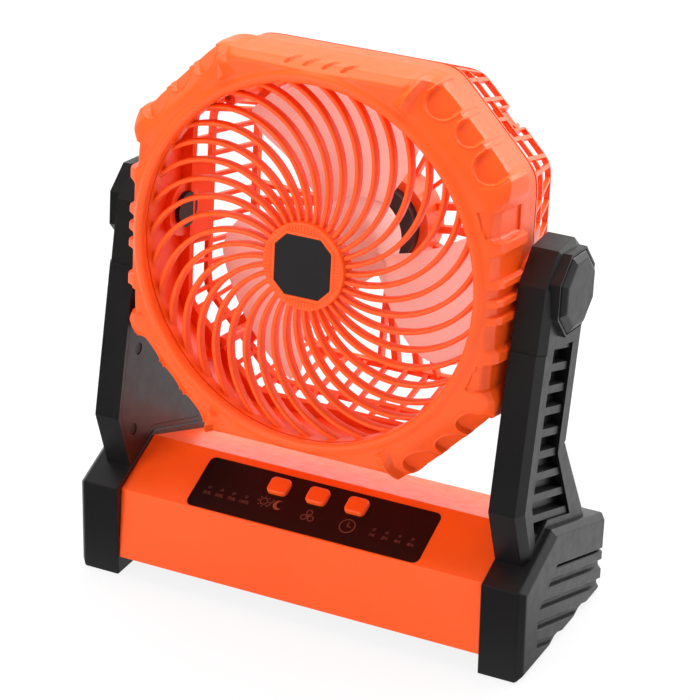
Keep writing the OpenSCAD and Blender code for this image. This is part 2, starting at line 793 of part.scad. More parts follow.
module arm_cover() difference() {
  slab(arm_in, arm_in + arm_cover_t) offset(delta = -arm_cover_rim - fit) polygon(arm_pts);
  on_pivot() rod(shaft_r + run, arm_in - 1, arm_out);
  arm_screw_places() {
    translate([0, 0, -arm_cover_t - 1]) cylinder(r = screw_r + fit, h = arm_cover_t + 2);
    translate([0, 0, -arm_screw_in - screw_head_h]) cylinder(r = screw_head_r + fit, h = 3);
  }
}

module arm_right() color(black) arm();

module arm_left() color(black) mirror([1, 0, 0]) arm();

module arm_cover_right() color("#312d2c") arm_cover();

module arm_cover_left() color("#312d2c") mirror([1, 0, 0]) arm_cover();

module arm_screws() color(steel) both_sides() arm_screw_places() translate([0, 0, -arm_screw_in])
  screw(screw_head_r, screw_r, screw_l);

// An octagon, drawn in by d
function cap_pts(d) = let (w = cap_w - d, v = (sqrt(2) - 1) * w)
  [[w, -v], [w, v], [v, w], [-v, w], [-w, v], [-w, -v], [-v, -w], [v, -w]];

// An octagonal cap in the arm's collar, with a spigot in the nut pocket
module pivot_cap() on_cap() {
  hull() {
    slab(arm_out, arm_out + collar_h) polygon(cap_pts(0));
    slab(arm_out, arm_out + cap_rise) polygon(cap_pts(cap_slope));
  }
  difference() {
    rod(pocket_r - fit, arm_out - spigot_l, arm_out);
    rod(pocket_r - fit - spigot_t, arm_out - spigot_l - 1, arm_out);
  }
}

module pivot_cap_right() color(black) pivot_cap();

module pivot_cap_left() color(black) mirror([1, 0, 0]) pivot_cap();

// Tilt hinge

module pivot_shaft() on_pivot() {
  rod(shaft_r, boss_in, shaft_out);
  rod(shaft_flange_r, boss_in - shaft_flange_t, boss_in);
}

module pivot_shaft_right() color(steel) pivot_shaft();

module pivot_shaft_left() color(steel) mirror([1, 0, 0]) pivot_shaft();

module ring_on_shaft(r, x0, x1) difference() {
  rod(r, x0, x1);
  rod(shaft_r + run, x0 - 1, x1 + 1);
}

module friction_discs() color("#4a4643") both_sides() on_pivot()
  ring_on_shaft(boss_r - 1, boss_out, arm_in - run);

module pivot_washers() color(steel) both_sides() on_pivot()
  ring_on_shaft(washer_r, nut_x - washer_t, nut_x);

module pivot_nuts() color(steel) both_sides() on_pivot() difference() {
  translate([nut_x, 0, 0]) rotate([0, 90, 0]) cylinder(r = nut_r, h = nut_t, $fn = 6);
  rod(shaft_r + run, arm_in, arm_out);
}

// Fan head

function octagon(f, c) = let (v = c * sqrt(2) - f)
  [[f, -v], [f, v], [v, f], [-v, f], [-f, v], [-f, -v], [-v, -f], [v, -f]];

// A bar along Z whose half width follows a profile of [y, half width] along the head's axis
module profile_bar(profile) linear_extrude(4 * head_c, center = true) polygon(concat(
  [for (p = profile) [p[1], p[0]]], [for (i = [len(profile) - 1:-1:0]) [-profile[i][1], profile[i][0]]]));

// Distance of the octagon's corners along the axis, with their sharp points taken off
function corner_points(flat, corner) = [for (p = corner) let (f = lookup(p[0], flat))
  [p[0], norm([f, p[1] * sqrt(2) - f]) - blunt]];

// An octagonal body of crossed bars: flat sides, corner facets and the blunt corners between them
module octagon_body(flat, corner) {
  points = corner_points(flat, corner);
  intersection() {
    profile_bar(flat);
    rotate([0, 90, 0]) profile_bar(flat);
    rotate([0, 45, 0]) profile_bar(corner);
    rotate([0, -45, 0]) profile_bar(corner);
    rotate([0, corner_a, 0]) profile_bar(points);
    rotate([0, -corner_a, 0]) profile_bar(points);
    rotate([0, 90 - corner_a, 0]) profile_bar(points);
    rotate([0, corner_a - 90, 0]) profile_bar(points);
  }
}

function grown(profile, d) = [for (p = profile) [p[0], p[1] + d]];

// The four corner facets: +X points out of the facet
module at_corners() for (i = [0:3]) rotate([0, -45 - 90 * i, 0]) children();

// The four flat sides: +X points out of the side
module at_sides() for (i = [0:3]) rotate([0, -90 * i, 0]) children();

// Three thumb cups in each corner facet, open towards the side wall
module finger_cups() at_corners() translate([face_c, -face_y, 0])
  rotate([0, 0, -atan2(crown_c - face_c, face_y - crown_y)]) for (i = [-1:1])
    translate([-cup_d, cup_r + cup_start, i * cup_pitch]) rotate([90, 0, 90]) linear_extrude(20) {
      circle(r = cup_r);
      translate([0, -cup_r]) square([40, 2 * cup_r]);
    }

// Raised knuckles at the eight corners of the octagon
module knuckles() intersection() {
  octagon_body(grown(flat_side, knuckle_h), grown(corner_side, knuckle_c));
  axial(1 - face_y, -knuckle_y) for (i = [0:3], m = [-1, 1]) rotate(90 * i) polygon([for (p = [
    [opening_r, corner_a - knuckle_near], [2 * head_c, corner_a - knuckle_near],
    [2 * head_c, corner_a + knuckle_far], [opening_r, corner_a + knuckle_far]])
      p[0] * [cos(p[1]), m * sin(p[1])]]);
}

// Ribs and pads along the two upright sides, where the fingers grip
module side_grips() both_sides() {
  for (i = [-1:1]) translate([0, 0, i * grip_pitch]) grip_rib(grip_w);
  for (s = [-1, 1]) translate([0, 0, s * grip_pad_z]) grip_rib(grip_pad_w);
}

module grip_rib(w) translate([head_f - shell_t, -grip_y, 0]) linear_extrude(w, center = true)
  polygon([[0, 0], [shell_t, 0], [shell_t + grip_h, grip_flat_y], [shell_t + grip_h, grip_slope_y],
    [0, grip_l]]);

module side_recesses() both_sides() for (s = [-1, 1]) translate([head_f - recess_d, -brow_y, s * recess_z])
  linear_extrude(recess_w, center = true) polygon([[0, 0], [3, -1], [3, recess_l * 1.5], [0, recess_l]]);

// Four slanted notches in the middle of the top and bottom sides
module edge_notches() for (s = [-1, 1], x = edge_notch_x) translate([x, 1 - brow_y, s * head_f])
  rotate([0, 0, edge_notch_a]) cube([edge_notch_w, edge_notch_l, 2 * edge_notch_d], center = true);

module bezel_hollow() octagon_body(
  [[-hollow_y, head_f - shell_t], [-cheek_y, head_f - shell_t], [seam_y + 1, seam_f - shell_t]],
  [[-hollow_y, head_c - 3 * shell_t], [-cheek_y, head_c - 2 * shell_t], [seam_y + 1, seam_c - shell_t]]);

// Rounded lip round the opening
module bezel_lip() rotate([90, 0, 0]) rotate_extrude($fn = 128) polygon(concat(
  [[opening_r - 1, rebate_y - 1], [opening_r - 1, face_y]],
  [for (p = lip_steps) [opening_r + p[0], face_y + p[1]]], [[lip_r, rebate_y - 1]]));

// Posts that reach back to the wells of the cage, each on a gusset from the side wall
module screw_posts() at_corners() translate([screw_c, 0, 0]) {
  axle(screw_post_r, screw_post_y, well_y);
  translate([0, screw_post_y, -gusset_t / 2])
    cube([seam_c - shell_t / 2 - screw_c, seam_y - 0.6 - screw_post_y, gusset_t]);
}

module front_bezel() color(orange) on_head() difference() {
  union() {
    difference() {
      union() {
        octagon_body(flat_side, corner_side);
        knuckles();
        side_grips();
      }
      finger_cups();
      side_recesses();
      edge_notches();
      bezel_hollow();
    }
    bezel_lip();
    both_sides() rod(boss_r, boss_in, boss_out);
    screw_posts();
  }
  axle(opening_r, -face_y - 6, 0);
  axle(grille_ring_r + fit, -rebate_y, 0);
  both_sides() rod(shaft_r + run, boss_in - 1, boss_out + 1);
  at_corners() translate([screw_c, 0, 0]) axle(screw_r + run, well_y - screw_l, well_y + 1);
}

// One rib: an arc that leaves the hub radially and sinks towards the rim
module spiral_rib() translate([rib_start, 0, hub_face_y - 2]) rotate(a = rib_sink, v = rib_sink_axis)
  translate([0, rib_arc_r, 0]) rotate([0, 0, -90]) rotate_extrude(angle = rib_sweep, $fn = 96)
    translate([rib_arc_r, 0]) polygon([[-rib_w / 2, -rib_d], [rib_w / 2, -rib_d], [rib_w / 2, -rib_edge],
      [rib_w / 2 - rib_edge, 0], [rib_edge - rib_w / 2, 0], [-rib_w / 2, -rib_edge]]);

// Raised frame round the badge, with fine teeth in four groups outside it
module hub_relief() translate([0, 0, hub_face_y - eps]) {
  linear_extrude(hub_frame_h + eps) polygon(octagon(badge_f + hub_frame_w, badge_c + hub_frame_w));
  for (g = [0:3], i = [0:hub_tooth_n - 1]) rotate([0, 0, 90 * g + (i - (hub_tooth_n - 1) / 2) * hub_tooth_a])
    translate([hub_top_r - hub_tooth_l - 0.1, -hub_tooth_w / 2, 0])
      cube([hub_tooth_l, hub_tooth_w, hub_tooth_h + eps]);
}

module front_grille() color(orange) on_head() rotate([90, 0, 0]) difference() {
  union() {
    translate([0, 0, hub_face_y - hub_d]) cylinder(r = hub_r, h = hub_d - hub_edge);
    translate([0, 0, hub_face_y - hub_edge]) cylinder(r1 = hub_r, r2 = hub_top_r, h = hub_edge);
    hub_relief();
    for (i = [0:rib_n - 1]) rotate([0, 0, i * 360 / rib_n]) spiral_rib();
    translate([0, 0, grille_y - grille_ring_d]) difference() {
      cylinder(r = grille_ring_r, h = grille_ring_d, $fn = 128);
      translate([0, 0, -1]) cylinder(r = opening_r, h = grille_ring_d + 2, $fn = 128);
    }
  }
  translate([0, 0, hub_face_y - badge_t]) linear_extrude(badge_t + 1)
    polygon(octagon(badge_f + fit, badge_c + fit));
}

module hub_badge() color("#191516") on_head() axial(-hub_face_y - badge_proud, -hub_face_y + badge_t - eps)
  polygon(octagon(badge_f, badge_c));

// Rear cage

function octagon_reach(a, f, c) = min(f / max(abs(cos(a)), abs(sin(a))),
  c / max(abs(cos(a - 45)), abs(sin(a - 45))));

// Half length of an octagon's flat sides
function side_half(f, c) = c * sqrt(2) - f;

// Slots between the side bars, as many as the octagon f, c has room for
module side_slots(f, c, y0, y1) {
  at_sides() slot_row(floor((2 * side_half(f, c) - 2 * bar_margin) / bar_pitch), y0, y1);
  facet_slots(f, c, y0, y1);
}

// The same, with the two upright sides closed near the hinge
module hinge_slots(f, c, y0, y1) {
  for (a = [90, -90]) rotate([0, a, 0])
    slot_row(floor((2 * side_half(f, c) - 2 * bar_margin) / bar_pitch), y0, y1);
  both_sides() for (s = [-1, 1], i = [0:floor((side_half(f, c) - bar_margin - hinge_wall) / bar_pitch) - 1])
    slot(s * (hinge_wall + slot_w / 2 + i * bar_pitch), y0, y1);
  facet_slots(f, c, y0, y1);
}

module facet_slots(f, c, y0, y1) at_corners()
  slot_row(floor((sqrt(2) * (f - side_half(f, c)) - 2 * bar_margin) / bar_pitch), y0, y1);

module slot_row(n, y0, y1) for (i = [0:n - 1]) slot((i - (n - 1) / 2) * bar_pitch, y0, y1);

module slot(z, y0, y1) translate([rear_f - 12, y0, z - slot_w / 2])
  cube([seam_c - rear_f + 24, y1 - y0, slot_w]);

// Wells in the corner facets for the screws, from the middle band back
module screw_wells() intersection() {
  at_corners() translate([notch_c - well_t, well_y, -notch_w / 2 - well_t]) difference() {
    cube([seam_c - notch_c, rear_y - well_y - 1, notch_w + 2 * well_t]);
    translate([well_t, well_end - well_y, well_t]) cube([seam_c, rear_y, notch_w]);
  }
  octagon_body(grown(cage_flat, -near), grown(cage_corner, -near));
}

module cage_wall() difference() {
  octagon_body(cage_flat, cage_corner);
  octagon_body([for (y = [flange_y, rear_y - lip_t]) [y, lookup(y, cage_flat) - shell_t]],
    [for (y = [flange_y, rear_y - lip_t]) [y, lookup(y, cage_corner) - shell_t]]);
  axial(seam_y - 1, flange_y + 1) polygon(octagon(seam_f - flange_w, seam_c - flange_w));
  axial(rear_y - lip_t - 1, rear_y + 1) polygon(octagon(rear_f - lip_w, rear_c - lip_w));
  hinge_slots(seam_f, seam_c, flange_y + slot_end, band_y);
  side_slots(rear_f, rear_c, band_end, rear_y - lip_t - slot_end);
  at_corners() translate([notch_c, well_end, -notch_w / 2]) cube([seam_c, rear_y, notch_w]);
  both_sides() rod(boss_r + near, boss_in - 6, arm_in);
}

module rear_cage() color(orange) on_head() difference() {
  union() {
    cage_wall();
    screw_wells();
    axial(rear_y - spoke_back - spoke_t, rear_y - spoke_back) for (i = [0:spoke_n - 1])
      let (a = arm_turn + (i + 0.5) * 360 / spoke_n) rotate(a) translate([spoke_in, -spoke_w / 2])
        square([octagon_reach(a, rear_f, rear_c) - spoke_in - lip_w / 2, spoke_w]);
    // Motor arms and cup
    rotate([0, -arm_turn, 0]) at_sides() for (s = [-1, 1])
      translate([spoke_in, rear_y - arm_bar_back - arm_bar_t, s * arm_bar_z - arm_bar_w / 2])
        cube([rear_f - lip_w / 2 - spoke_in, arm_bar_t, arm_bar_w]);
    axle(motor_r + cup_wall, motor_front + 3, rear_y + 1);
  }
  axle(motor_r + fit, motor_front, motor_back);
  axle(lamp_r, lamp_floor, rear_y + 2);
  axle(wire_r, motor_back - 1, lamp_floor + 1);
  at_corners() translate([screw_c, 0, 0]) axle(screw_r + fit, well_y - 1, well_end + 1);
}

module cage_screws() color(steel) on_head() at_corners() translate([screw_c, well_end + screw_head_h, 0])
  rotate([-90, 0, 0]) screw(screw_head_r, screw_r, screw_l + 2);

// Motor and fan

module motor_housing() color("#2f2f32") on_head() difference() {
  axle(motor_r, motor_front, motor_back - run);
  axle(motor_r - motor_wall, motor_front - 1, motor_back - 2);
  axle(bearing_r + fit, motor_back - 3, motor_back + 1);
}

module motor_end_cap() color("#55565a") on_head() difference() {
  union() {
    axle(motor_r, motor_front - end_cap_t, motor_front);
    axle(motor_r - motor_wall - fit, motor_front - eps, motor_front + 1.5);
  }
  axle(bearing_r + fit, motor_front - end_cap_t - 1, motor_front + 3);
}

module motor_bearings() color(steel) on_head()
  for (y = [motor_front - end_cap_t + 0.2, motor_back - bearing_t - run]) difference() {
    axle(bearing_r, y, y + bearing_t);
    axle(motor_shaft_r + run, y - 1, y + bearing_t + 1);
  }

module motor_shaft() color(steel) on_head() axle(motor_shaft_r, fan_front + fan_bore + 1, motor_back - 0.5);

module motor_rotor() color("#7a7c80") on_head() difference() {
  axle(rotor_r, motor_front + rotor_gap + 1, motor_back - bearing_t - rotor_gap);
  axle(motor_shaft_r + run, motor_front, motor_back);
}

// Blade surface: u from root to tip, v from leading to trailing edge, side 0 or 1 of its thickness
blade_u = 9;
blade_v = 8;
blade_camber = 3.5;
function blade_half(u) = (27 + 8 * u) * sqrt(1 - 0.5 * pow(u, 6));
function blade_point(u, v, side) = let (r = fan_hub_r - 2 + (blade_r - fan_hub_r + 2) * u,
  h = blade_root_h + (blade_tip_h - blade_root_h) * u,
  a = (2 * v - 1) * blade_half(u) + 14 * u * u,
  y = blade_y + (0.5 - v) * h + blade_camber * sin(180 * v) + (side - 0.5) * blade_t)
  [r * cos(a), y, r * sin(a)];
blade_row = blade_v + 1;
blade_half_n = (blade_u + 1) * blade_row;
function blade_id(i, j, side) = side * blade_half_n + i * blade_row + j;
function blade_quad(a, b, c, d) = [[a, b, c], [a, c, d]];

module blade() polyhedron(
  points = [for (side = [0, 1], i = [0:blade_u], j = [0:blade_v])
    blade_point(i / blade_u, j / blade_v, side)],
  faces = concat(
    [for (i = [0:blade_u - 1], j = [0:blade_v - 1], q = blade_quad(blade_id(i, j, 0), blade_id(i, j + 1, 0),
      blade_id(i + 1, j + 1, 0), blade_id(i + 1, j, 0))) q],
    [for (i = [0:blade_u - 1], j = [0:blade_v - 1], q = blade_quad(blade_id(i + 1, j, 1),
      blade_id(i + 1, j + 1, 1), blade_id(i, j + 1, 1), blade_id(i, j, 1))) q],
    [for (i = [0:blade_u - 1], s = [0, 1], q = s == 0
      ? blade_quad(blade_id(i + 1, 0, 0), blade_id(i + 1, 0, 1), blade_id(i, 0, 1), blade_id(i, 0, 0))
      : blade_quad(blade_id(i, blade_v, 0), blade_id(i, blade_v, 1), blade_id(i + 1, blade_v, 1),
        blade_id(i + 1, blade_v, 0))) q],
    [for (j = [0:blade_v - 1], s = [0, 1], q = s == 0
      ? blade_quad(blade_id(0, j, 0), blade_id(0, j, 1), blade_id(0, j + 1, 1), blade_id(0, j + 1, 0))
      : blade_quad(blade_id(blade_u, j + 1, 0), blade_id(blade_u, j + 1, 1), blade_id(blade_u, j, 1),
        blade_id(blade_u, j, 0))) q]));

module fan_blades() color("#f3b3a3") on_head() difference() {
  union() {
    for (i = [0:blade_n - 1]) rotate([0, -90 - i * 360 / blade_n, 0]) blade();
    rotate([90, 0, 0]) rotate_extrude() polygon([[0, -fan_back], [fan_hub_r, -fan_back],
      [fan_hub_r, -fan_front - fan_nose_l], [fan_hub_r - fan_nose_in, -fan_front], [0, -fan_front]]);
  }
  axle(motor_shaft_r + run, fan_front + fan_bore, fan_back + 1);
}

// Rear lamp

module lamp_board() color("#e8e6de") on_head() difference() {
  axle(lamp_r - 2 * near, lamp_floor, lamp_floor + lamp_board_t);
  axle(lamp_wire_r, lamp_floor - 1, lamp_floor + lamp_board_t + 1);
}

module lamp_lens() color("#f4f1e8") on_head() difference() {
  rotate([-90, 0, 0]) rotate_extrude() polygon(concat([[0, lens_back], [lamp_r - fit, lens_back]],
    [for (p = lens_steps) [lamp_r - fit - p[0], lens_back + p[1]]], [[0, lens_back + lens_crown]]));
  axle(lamp_r - 3, lens_back - 1, lens_back + lens_t);
}

base_housing();
base_bottom_cover();
base_screws();
control_plate();
circuit_board();
button_switches();
indicator_lights();
light_button();
speed_button();
timer_button();
battery_cells();
battery_tray();
charging_port();
foot_left();
foot_right();
foot_pads();
arm_left();
arm_right();
arm_cover_left();
arm_cover_right();
arm_screws();
pivot_cap_left();
pivot_cap_right();
pivot_shaft_left();
pivot_shaft_right();
friction_discs();
pivot_washers();
pivot_nuts();
front_bezel();
front_grille();
hub_badge();
rear_cage();
cage_screws();
motor_housing();
motor_end_cap();
motor_bearings();
motor_shaft();
motor_rotor();
fan_blades();
lamp_board();
lamp_lens();
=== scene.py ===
import json
import math

import bmesh
import bpy
import numpy as np
from mathutils import Matrix, Vector


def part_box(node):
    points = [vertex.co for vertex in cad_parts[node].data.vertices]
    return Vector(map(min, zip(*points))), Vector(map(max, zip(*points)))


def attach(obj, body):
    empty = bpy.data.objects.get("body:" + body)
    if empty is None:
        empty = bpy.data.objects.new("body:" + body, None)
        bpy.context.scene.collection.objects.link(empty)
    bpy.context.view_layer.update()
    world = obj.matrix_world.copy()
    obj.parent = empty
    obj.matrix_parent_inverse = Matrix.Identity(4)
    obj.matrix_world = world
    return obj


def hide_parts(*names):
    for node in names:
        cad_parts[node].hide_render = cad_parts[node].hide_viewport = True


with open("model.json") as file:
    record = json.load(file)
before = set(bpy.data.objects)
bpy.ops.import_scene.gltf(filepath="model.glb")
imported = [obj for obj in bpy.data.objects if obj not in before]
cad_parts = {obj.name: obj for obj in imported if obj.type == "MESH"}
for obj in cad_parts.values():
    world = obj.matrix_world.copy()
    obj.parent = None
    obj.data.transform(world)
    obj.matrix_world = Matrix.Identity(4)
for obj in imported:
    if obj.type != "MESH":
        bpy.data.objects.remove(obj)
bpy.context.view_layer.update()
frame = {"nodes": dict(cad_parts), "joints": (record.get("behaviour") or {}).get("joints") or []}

MM = 0.001
JOINTS = {joint["name"]: joint for joint in frame["joints"]}


def face_frame(origin, outward):
    """A face's own frame, in millimetres: x to the right, y up along the face, z out of it."""
    right = Vector((1, 0, 0))
    return Matrix.Translation(origin) @ Matrix(
        (right, outward.cross(right), outward)).transposed().to_4x4() @ Matrix.Scale(MM, 4)


# The head is drawn from the tilt axis, the control panel from the middle of its plate
HEAD = face_frame(Vector(JOINTS["head_tilt"]["pos_m"]), Vector(JOINTS["fan_spin"]["axis"]).normalized())
PLATE_LOW, PLATE_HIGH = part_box("control_plate")
PANEL = face_frame((PLATE_LOW + PLATE_HIGH) / 2, -Vector(JOINTS["speed_press"]["axis"]).normalized())


# Materials: noise scales are per metre, depths of grain in metres

CLOUD_SCALE, PATCH_SCALE, GRAIN_SCALE = 22.0, 160.0, 2600.0
GRAIN_STRENGTH = 0.35
METAL_CLOUD_SCALE, METAL_PATCH_SCALE, METAL_GLOSS = 90.0, 700.0, 0.08
TURNING_SCALE, TURNING_STRENGTH, TURNING_DEPTH = 1800.0, 0.2, 0.00002
BLADE_GLOW = 0.5
LENS_SCATTER, LENS_SCATTER_REACH = 0.3, 0.004


def srgb(red, green, blue):
    """A display colour from 0 to 255 as the linear colour that a shader takes."""
    def linear(value):
        share = value / 255
        return share / 12.92 if share <= 0.04045 else ((share + 0.055) / 1.055) ** 2.4
    return linear(red), linear(green), linear(blue), 1.0


def shade(colour, factor):
    return tuple(min(1.0, channel * factor) for channel in colour[:3]) + (1.0,)


class Nodes:
    """Short calls for building a material's node tree."""

    def __init__(self, name):
        self.material = bpy.data.materials.new(name)
        self.material.use_nodes = True
        self.tree = self.material.node_tree
        self.shader = self.tree.nodes["Principled BSDF"]
        self.output = self.tree.nodes["Material Output"]
        self.place = self.add("ShaderNodeTexCoord").outputs["Object"]

    def add(self, kind, **settings):
        node = self.tree.nodes.new(kind)
        for name, value in settings.items():
            setattr(node, name, value)
        return node

    def link(self, output, socket):
        self.tree.links.new(output, socket)

    def noise(self, scale, detail):
        node = self.add("ShaderNodeTexNoise")
        node.inputs["Scale"].default_value = scale
        node.inputs["Detail"].default_value = detail
        self.link(self.place, node.inputs["Vector"])
        return node.outputs["Fac"]

    def ramp(self, value, low, high, from_low=0.3, from_high=0.7):
        node = self.add("ShaderNodeMapRange")
        node.inputs["From Min"].default_value = from_low
        node.inputs["From Max"].default_value = from_high
        node.inputs["To Min"].default_value = low
        node.inputs["To Max"].default_value = high
        self.link(value, node.inputs["Value"])
        return node.outputs["Result"]

    def colours(self, value, low, high):
        node = self.add("ShaderNodeMix", data_type="RGBA")
        self.link(value, node.inputs["Factor"])
        node.inputs["A"].default_value = low
        node.inputs["B"].default_value = high
        return node.outputs["Result"]

    def bump(self, height, strength, distance):
        node = self.add("ShaderNodeBump")
        node.inputs["Strength"].default_value = strength
        node.inputs["Distance"].default_value = distance
        self.link(height, node.inputs["Height"])
        self.link(node.outputs["Normal"], self.shader.inputs["Normal"])

    def blend(self, first, second):
        """Mixes two shaders into the output, and gives the socket for the share of the second one."""
        mix = self.add("ShaderNodeMixShader")
        self.link(first, mix.inputs[1])
        self.link(second, mix.inputs[2])
        self.link(mix.outputs["Shader"], self.output.inputs["Surface"])
        return mix.inputs["Fac"]


def plastic(name, colour, roughness, grain=GRAIN_SCALE, grain_depth=0.00004, spread=0.05, gloss=0.05,
            specular=0.5):
    """Moulded plastic: a fine spark-eroded grain, faint flow clouds in the colour and patches of gloss."""
    nodes = Nodes(name)
    clouds = nodes.ramp(nodes.noise(CLOUD_SCALE, 3.0), 0.0, 1.0)
    nodes.link(nodes.colours(clouds, shade(colour, 1 - spread), shade(colour, 1 + spread)),
               nodes.shader.inputs["Base Color"])
    patches = nodes.ramp(nodes.noise(PATCH_SCALE, 3.0), roughness - gloss, roughness + gloss)
    nodes.link(patches, nodes.shader.inputs["Roughness"])
    nodes.shader.inputs["Specular IOR Level"].default_value = specular
    nodes.bump(nodes.noise(grain, 2.0), GRAIN_STRENGTH, grain_depth)
    return nodes


def metal(name, colour, roughness):
    """Plated steel with fine turning marks."""
    nodes = Nodes(name)
    nodes.shader.inputs["Metallic"].default_value = 1.0
    clouds = nodes.ramp(nodes.noise(METAL_CLOUD_SCALE, 4.0), 0.0, 1.0)
    nodes.link(nodes.colours(clouds, shade(colour, 0.85), colour), nodes.shader.inputs["Base Color"])
    patches = nodes.ramp(nodes.noise(METAL_PATCH_SCALE, 2.0), roughness - METAL_GLOSS, roughness + METAL_GLOSS)
    nodes.link(patches, nodes.shader.inputs["Roughness"])
    nodes.bump(nodes.noise(TURNING_SCALE, 1.0), TURNING_STRENGTH, TURNING_DEPTH)
    return nodes.material


def blade_plastic(name, colour):
    """Milky plastic that lets light through and glows where it is lit from behind."""
    nodes = plastic(name, colour, 0.4, grain_depth=0.00002)
    glow = nodes.add("ShaderNodeBsdfTranslucent")
    glow.inputs["Color"].default_value = shade(colour, 1.05)
    nodes.blend(nodes.shader.outputs["BSDF"], glow.outputs["BSDF"]).default_value = BLADE_GLOW
    return nodes.material


def lens_plastic(name, colour):
    """Frosted lamp lens."""
    nodes = plastic(name, colour, 0.3, grain=900.0, grain_depth=0.0002)
    nodes.shader.inputs["Subsurface Weight"].default_value = LENS_SCATTER
    nodes.shader.inputs["Subsurface Radius"].default_value = (1.0, 1.0, 1.0)
    nodes.shader.inputs["Subsurface Scale"].default_value = LENS_SCATTER_REACH
    return nodes.material


MATERIALS = {
    "orange": plastic("orange_plastic", srgb(250, 84, 17), 0.36).material,
    "black": plastic("black_plastic", srgb(22, 20, 20), 0.38, grain=1900.0, grain_depth=0.00008,
                     spread=0.12).material,
    "panel": plastic("panel_plastic", srgb(27, 7, 7), 0.3, grain_depth=0.00001, gloss=0.02, specular=0.28).material,
    "blade": blade_plastic("blade_plastic", srgb(252, 228, 222)),
    "steel": metal("plated_steel", srgb(190, 192, 196), 0.35),
    "dark_steel": metal("blackened_steel", srgb(58, 56, 56), 0.4),
    "rubber": plastic("foot_rubber", srgb(30, 30, 31), 0.8, grain=1200.0, grain_depth=0.0001).material,
    "board": plastic("circuit_board_lacquer", srgb(28, 92, 56), 0.35).material,
    "cell": plastic("cell_sleeve", srgb(58, 108, 168), 0.35).material,
    "lens": lens_plastic("frosted_lens", srgb(214, 211, 203)),
    "badge": plastic("badge_plastic", srgb(36, 33, 35), 0.36, grain_depth=0.00002).material,
    "print": plastic("panel_print", srgb(122, 62, 50), 0.45, grain_depth=0.00001).material,
    "moon": plastic("moon_print", srgb(150, 70, 48), 0.45, grain_depth=0.00001).material,
    "light": lens_plastic("indicator_lens", srgb(70, 36, 32)),
    "motor": plastic("motor_paint", srgb(40, 36, 37), 0.45).material,
}


# Mesh helpers

SHARP_ANGLE = math.radians(38)


class Builder:
    """Collects grids of points into one mesh."""

    def __init__(self):
        self.points = []
        self.faces = []

    def grid(self, rows, closed_rows=False, closed_columns=False):
        """Quads over rows of points; a closed direction joins its last line to its first."""
        start = len(self.points)
        count, width = len(rows), len(rows[0])
        for row in rows:
            self.points.extend(tuple(point) for point in row)
        for i in range(count if closed_rows else count - 1):
            here, there = start + i * width, start + (i + 1) % count * width
            for j in range(width if closed_columns else width - 1):
                k = (j + 1) % width
                self.faces.append((here + j, here + k, there + k, there + j))
        return start

    def solid(self, rows):
        """A closed solid along rows of points that each go round it."""
        width = len(rows[0])
        first = self.grid(rows, closed_columns=True)
        last = first + (len(rows) - 1) * width
        self.faces.append(tuple(range(first + width - 1, first - 1, -1)))
        self.faces.append(tuple(range(last, last + width)))

    def prism(self, outline, offset):
        """A closed solid between an outline and its copy moved by offset."""
        self.solid([outline, [tuple(Vector(point) + Vector(offset)) for point in outline]])


def new_piece(name, builder, matrix, material, body, smooth=True):
    """A mesh piece from a builder's points in the frame of matrix, riding on a body."""
    mesh = bpy.data.meshes.new(name)
    mesh.from_pydata([matrix @ Vector(point) for point in builder.points], [], builder.faces)
    mesh.validate()
    shell = bmesh.new()
    shell.from_mesh(mesh)
    bmesh.ops.recalc_face_normals(shell, faces=shell.faces)
    shell.to_mesh(mesh)
    shell.free()
    mesh.polygons.foreach_set("use_smooth", [smooth] * len(mesh.polygons))
    mesh.set_sharp_from_angle(angle=SHARP_ANGLE)
    mesh.materials.append(MATERIALS[material])
    mesh.update()
    piece = bpy.data.objects.new(name, mesh)
    bpy.context.scene.collection.objects.link(piece)
    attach(piece, body)
    return piece


def step(value, low, high):
    """0 below low, 1 above high, smooth between; low may be the larger one."""
    share = np.clip((value - low) / (high - low), 0.0, 1.0)
    return share * share * (3 - 2 * share)


def circle(radius, columns=40):
    return [(radius * math.cos(2 * math.pi * n / columns), radius * math.sin(2 * math.pi * n / columns))
            for n in range(columns)]


def add_ring(builder, outline, columns=240):
    """A ring about the head's axis with the given closed outline of (radius, depth)."""
    rows = []
    for n in range(columns):
        turn = 2 * math.pi * n / columns
        rows.append([(r * math.cos(turn), r * math.sin(turn), d) for r, d in outline])
    builder.grid(rows, True, True)


# Front bezel: a moulded octagonal ring with knuckles, finger cups, grip ribs and notches

OPENING_R = 88.8
GRILLE_SEAT_R = 92.3
FACE_D, CHEEK_D, SEAM_D = 43.0, 24.0, -3.0
FACE_FLAT, FACE_CORNER = 95.0, 98.5
HEAD_FLAT, HEAD_CORNER = 98.0, 110.5
SEAM_FLAT, SEAM_CORNER = 97.5, 106.0
BROW_DROP, CROWN_DROP = 7.0, 12.0
SEAT_DROP, HOLLOW_DROP = 3.2, 9.0
CORNER_SHARPNESS = 42
# The lip round the opening: steps out from the opening and up from the face, and samples on the span after each
LIP_PROFILE = ((0.0, -1.5, 2), (0.1, 0.8, 3), (1.4, 2.3, 3), (3.2, 2.4, 3), (5.0, 1.3, 3), (6.0, -0.1, 4))
SHELL = 2.6
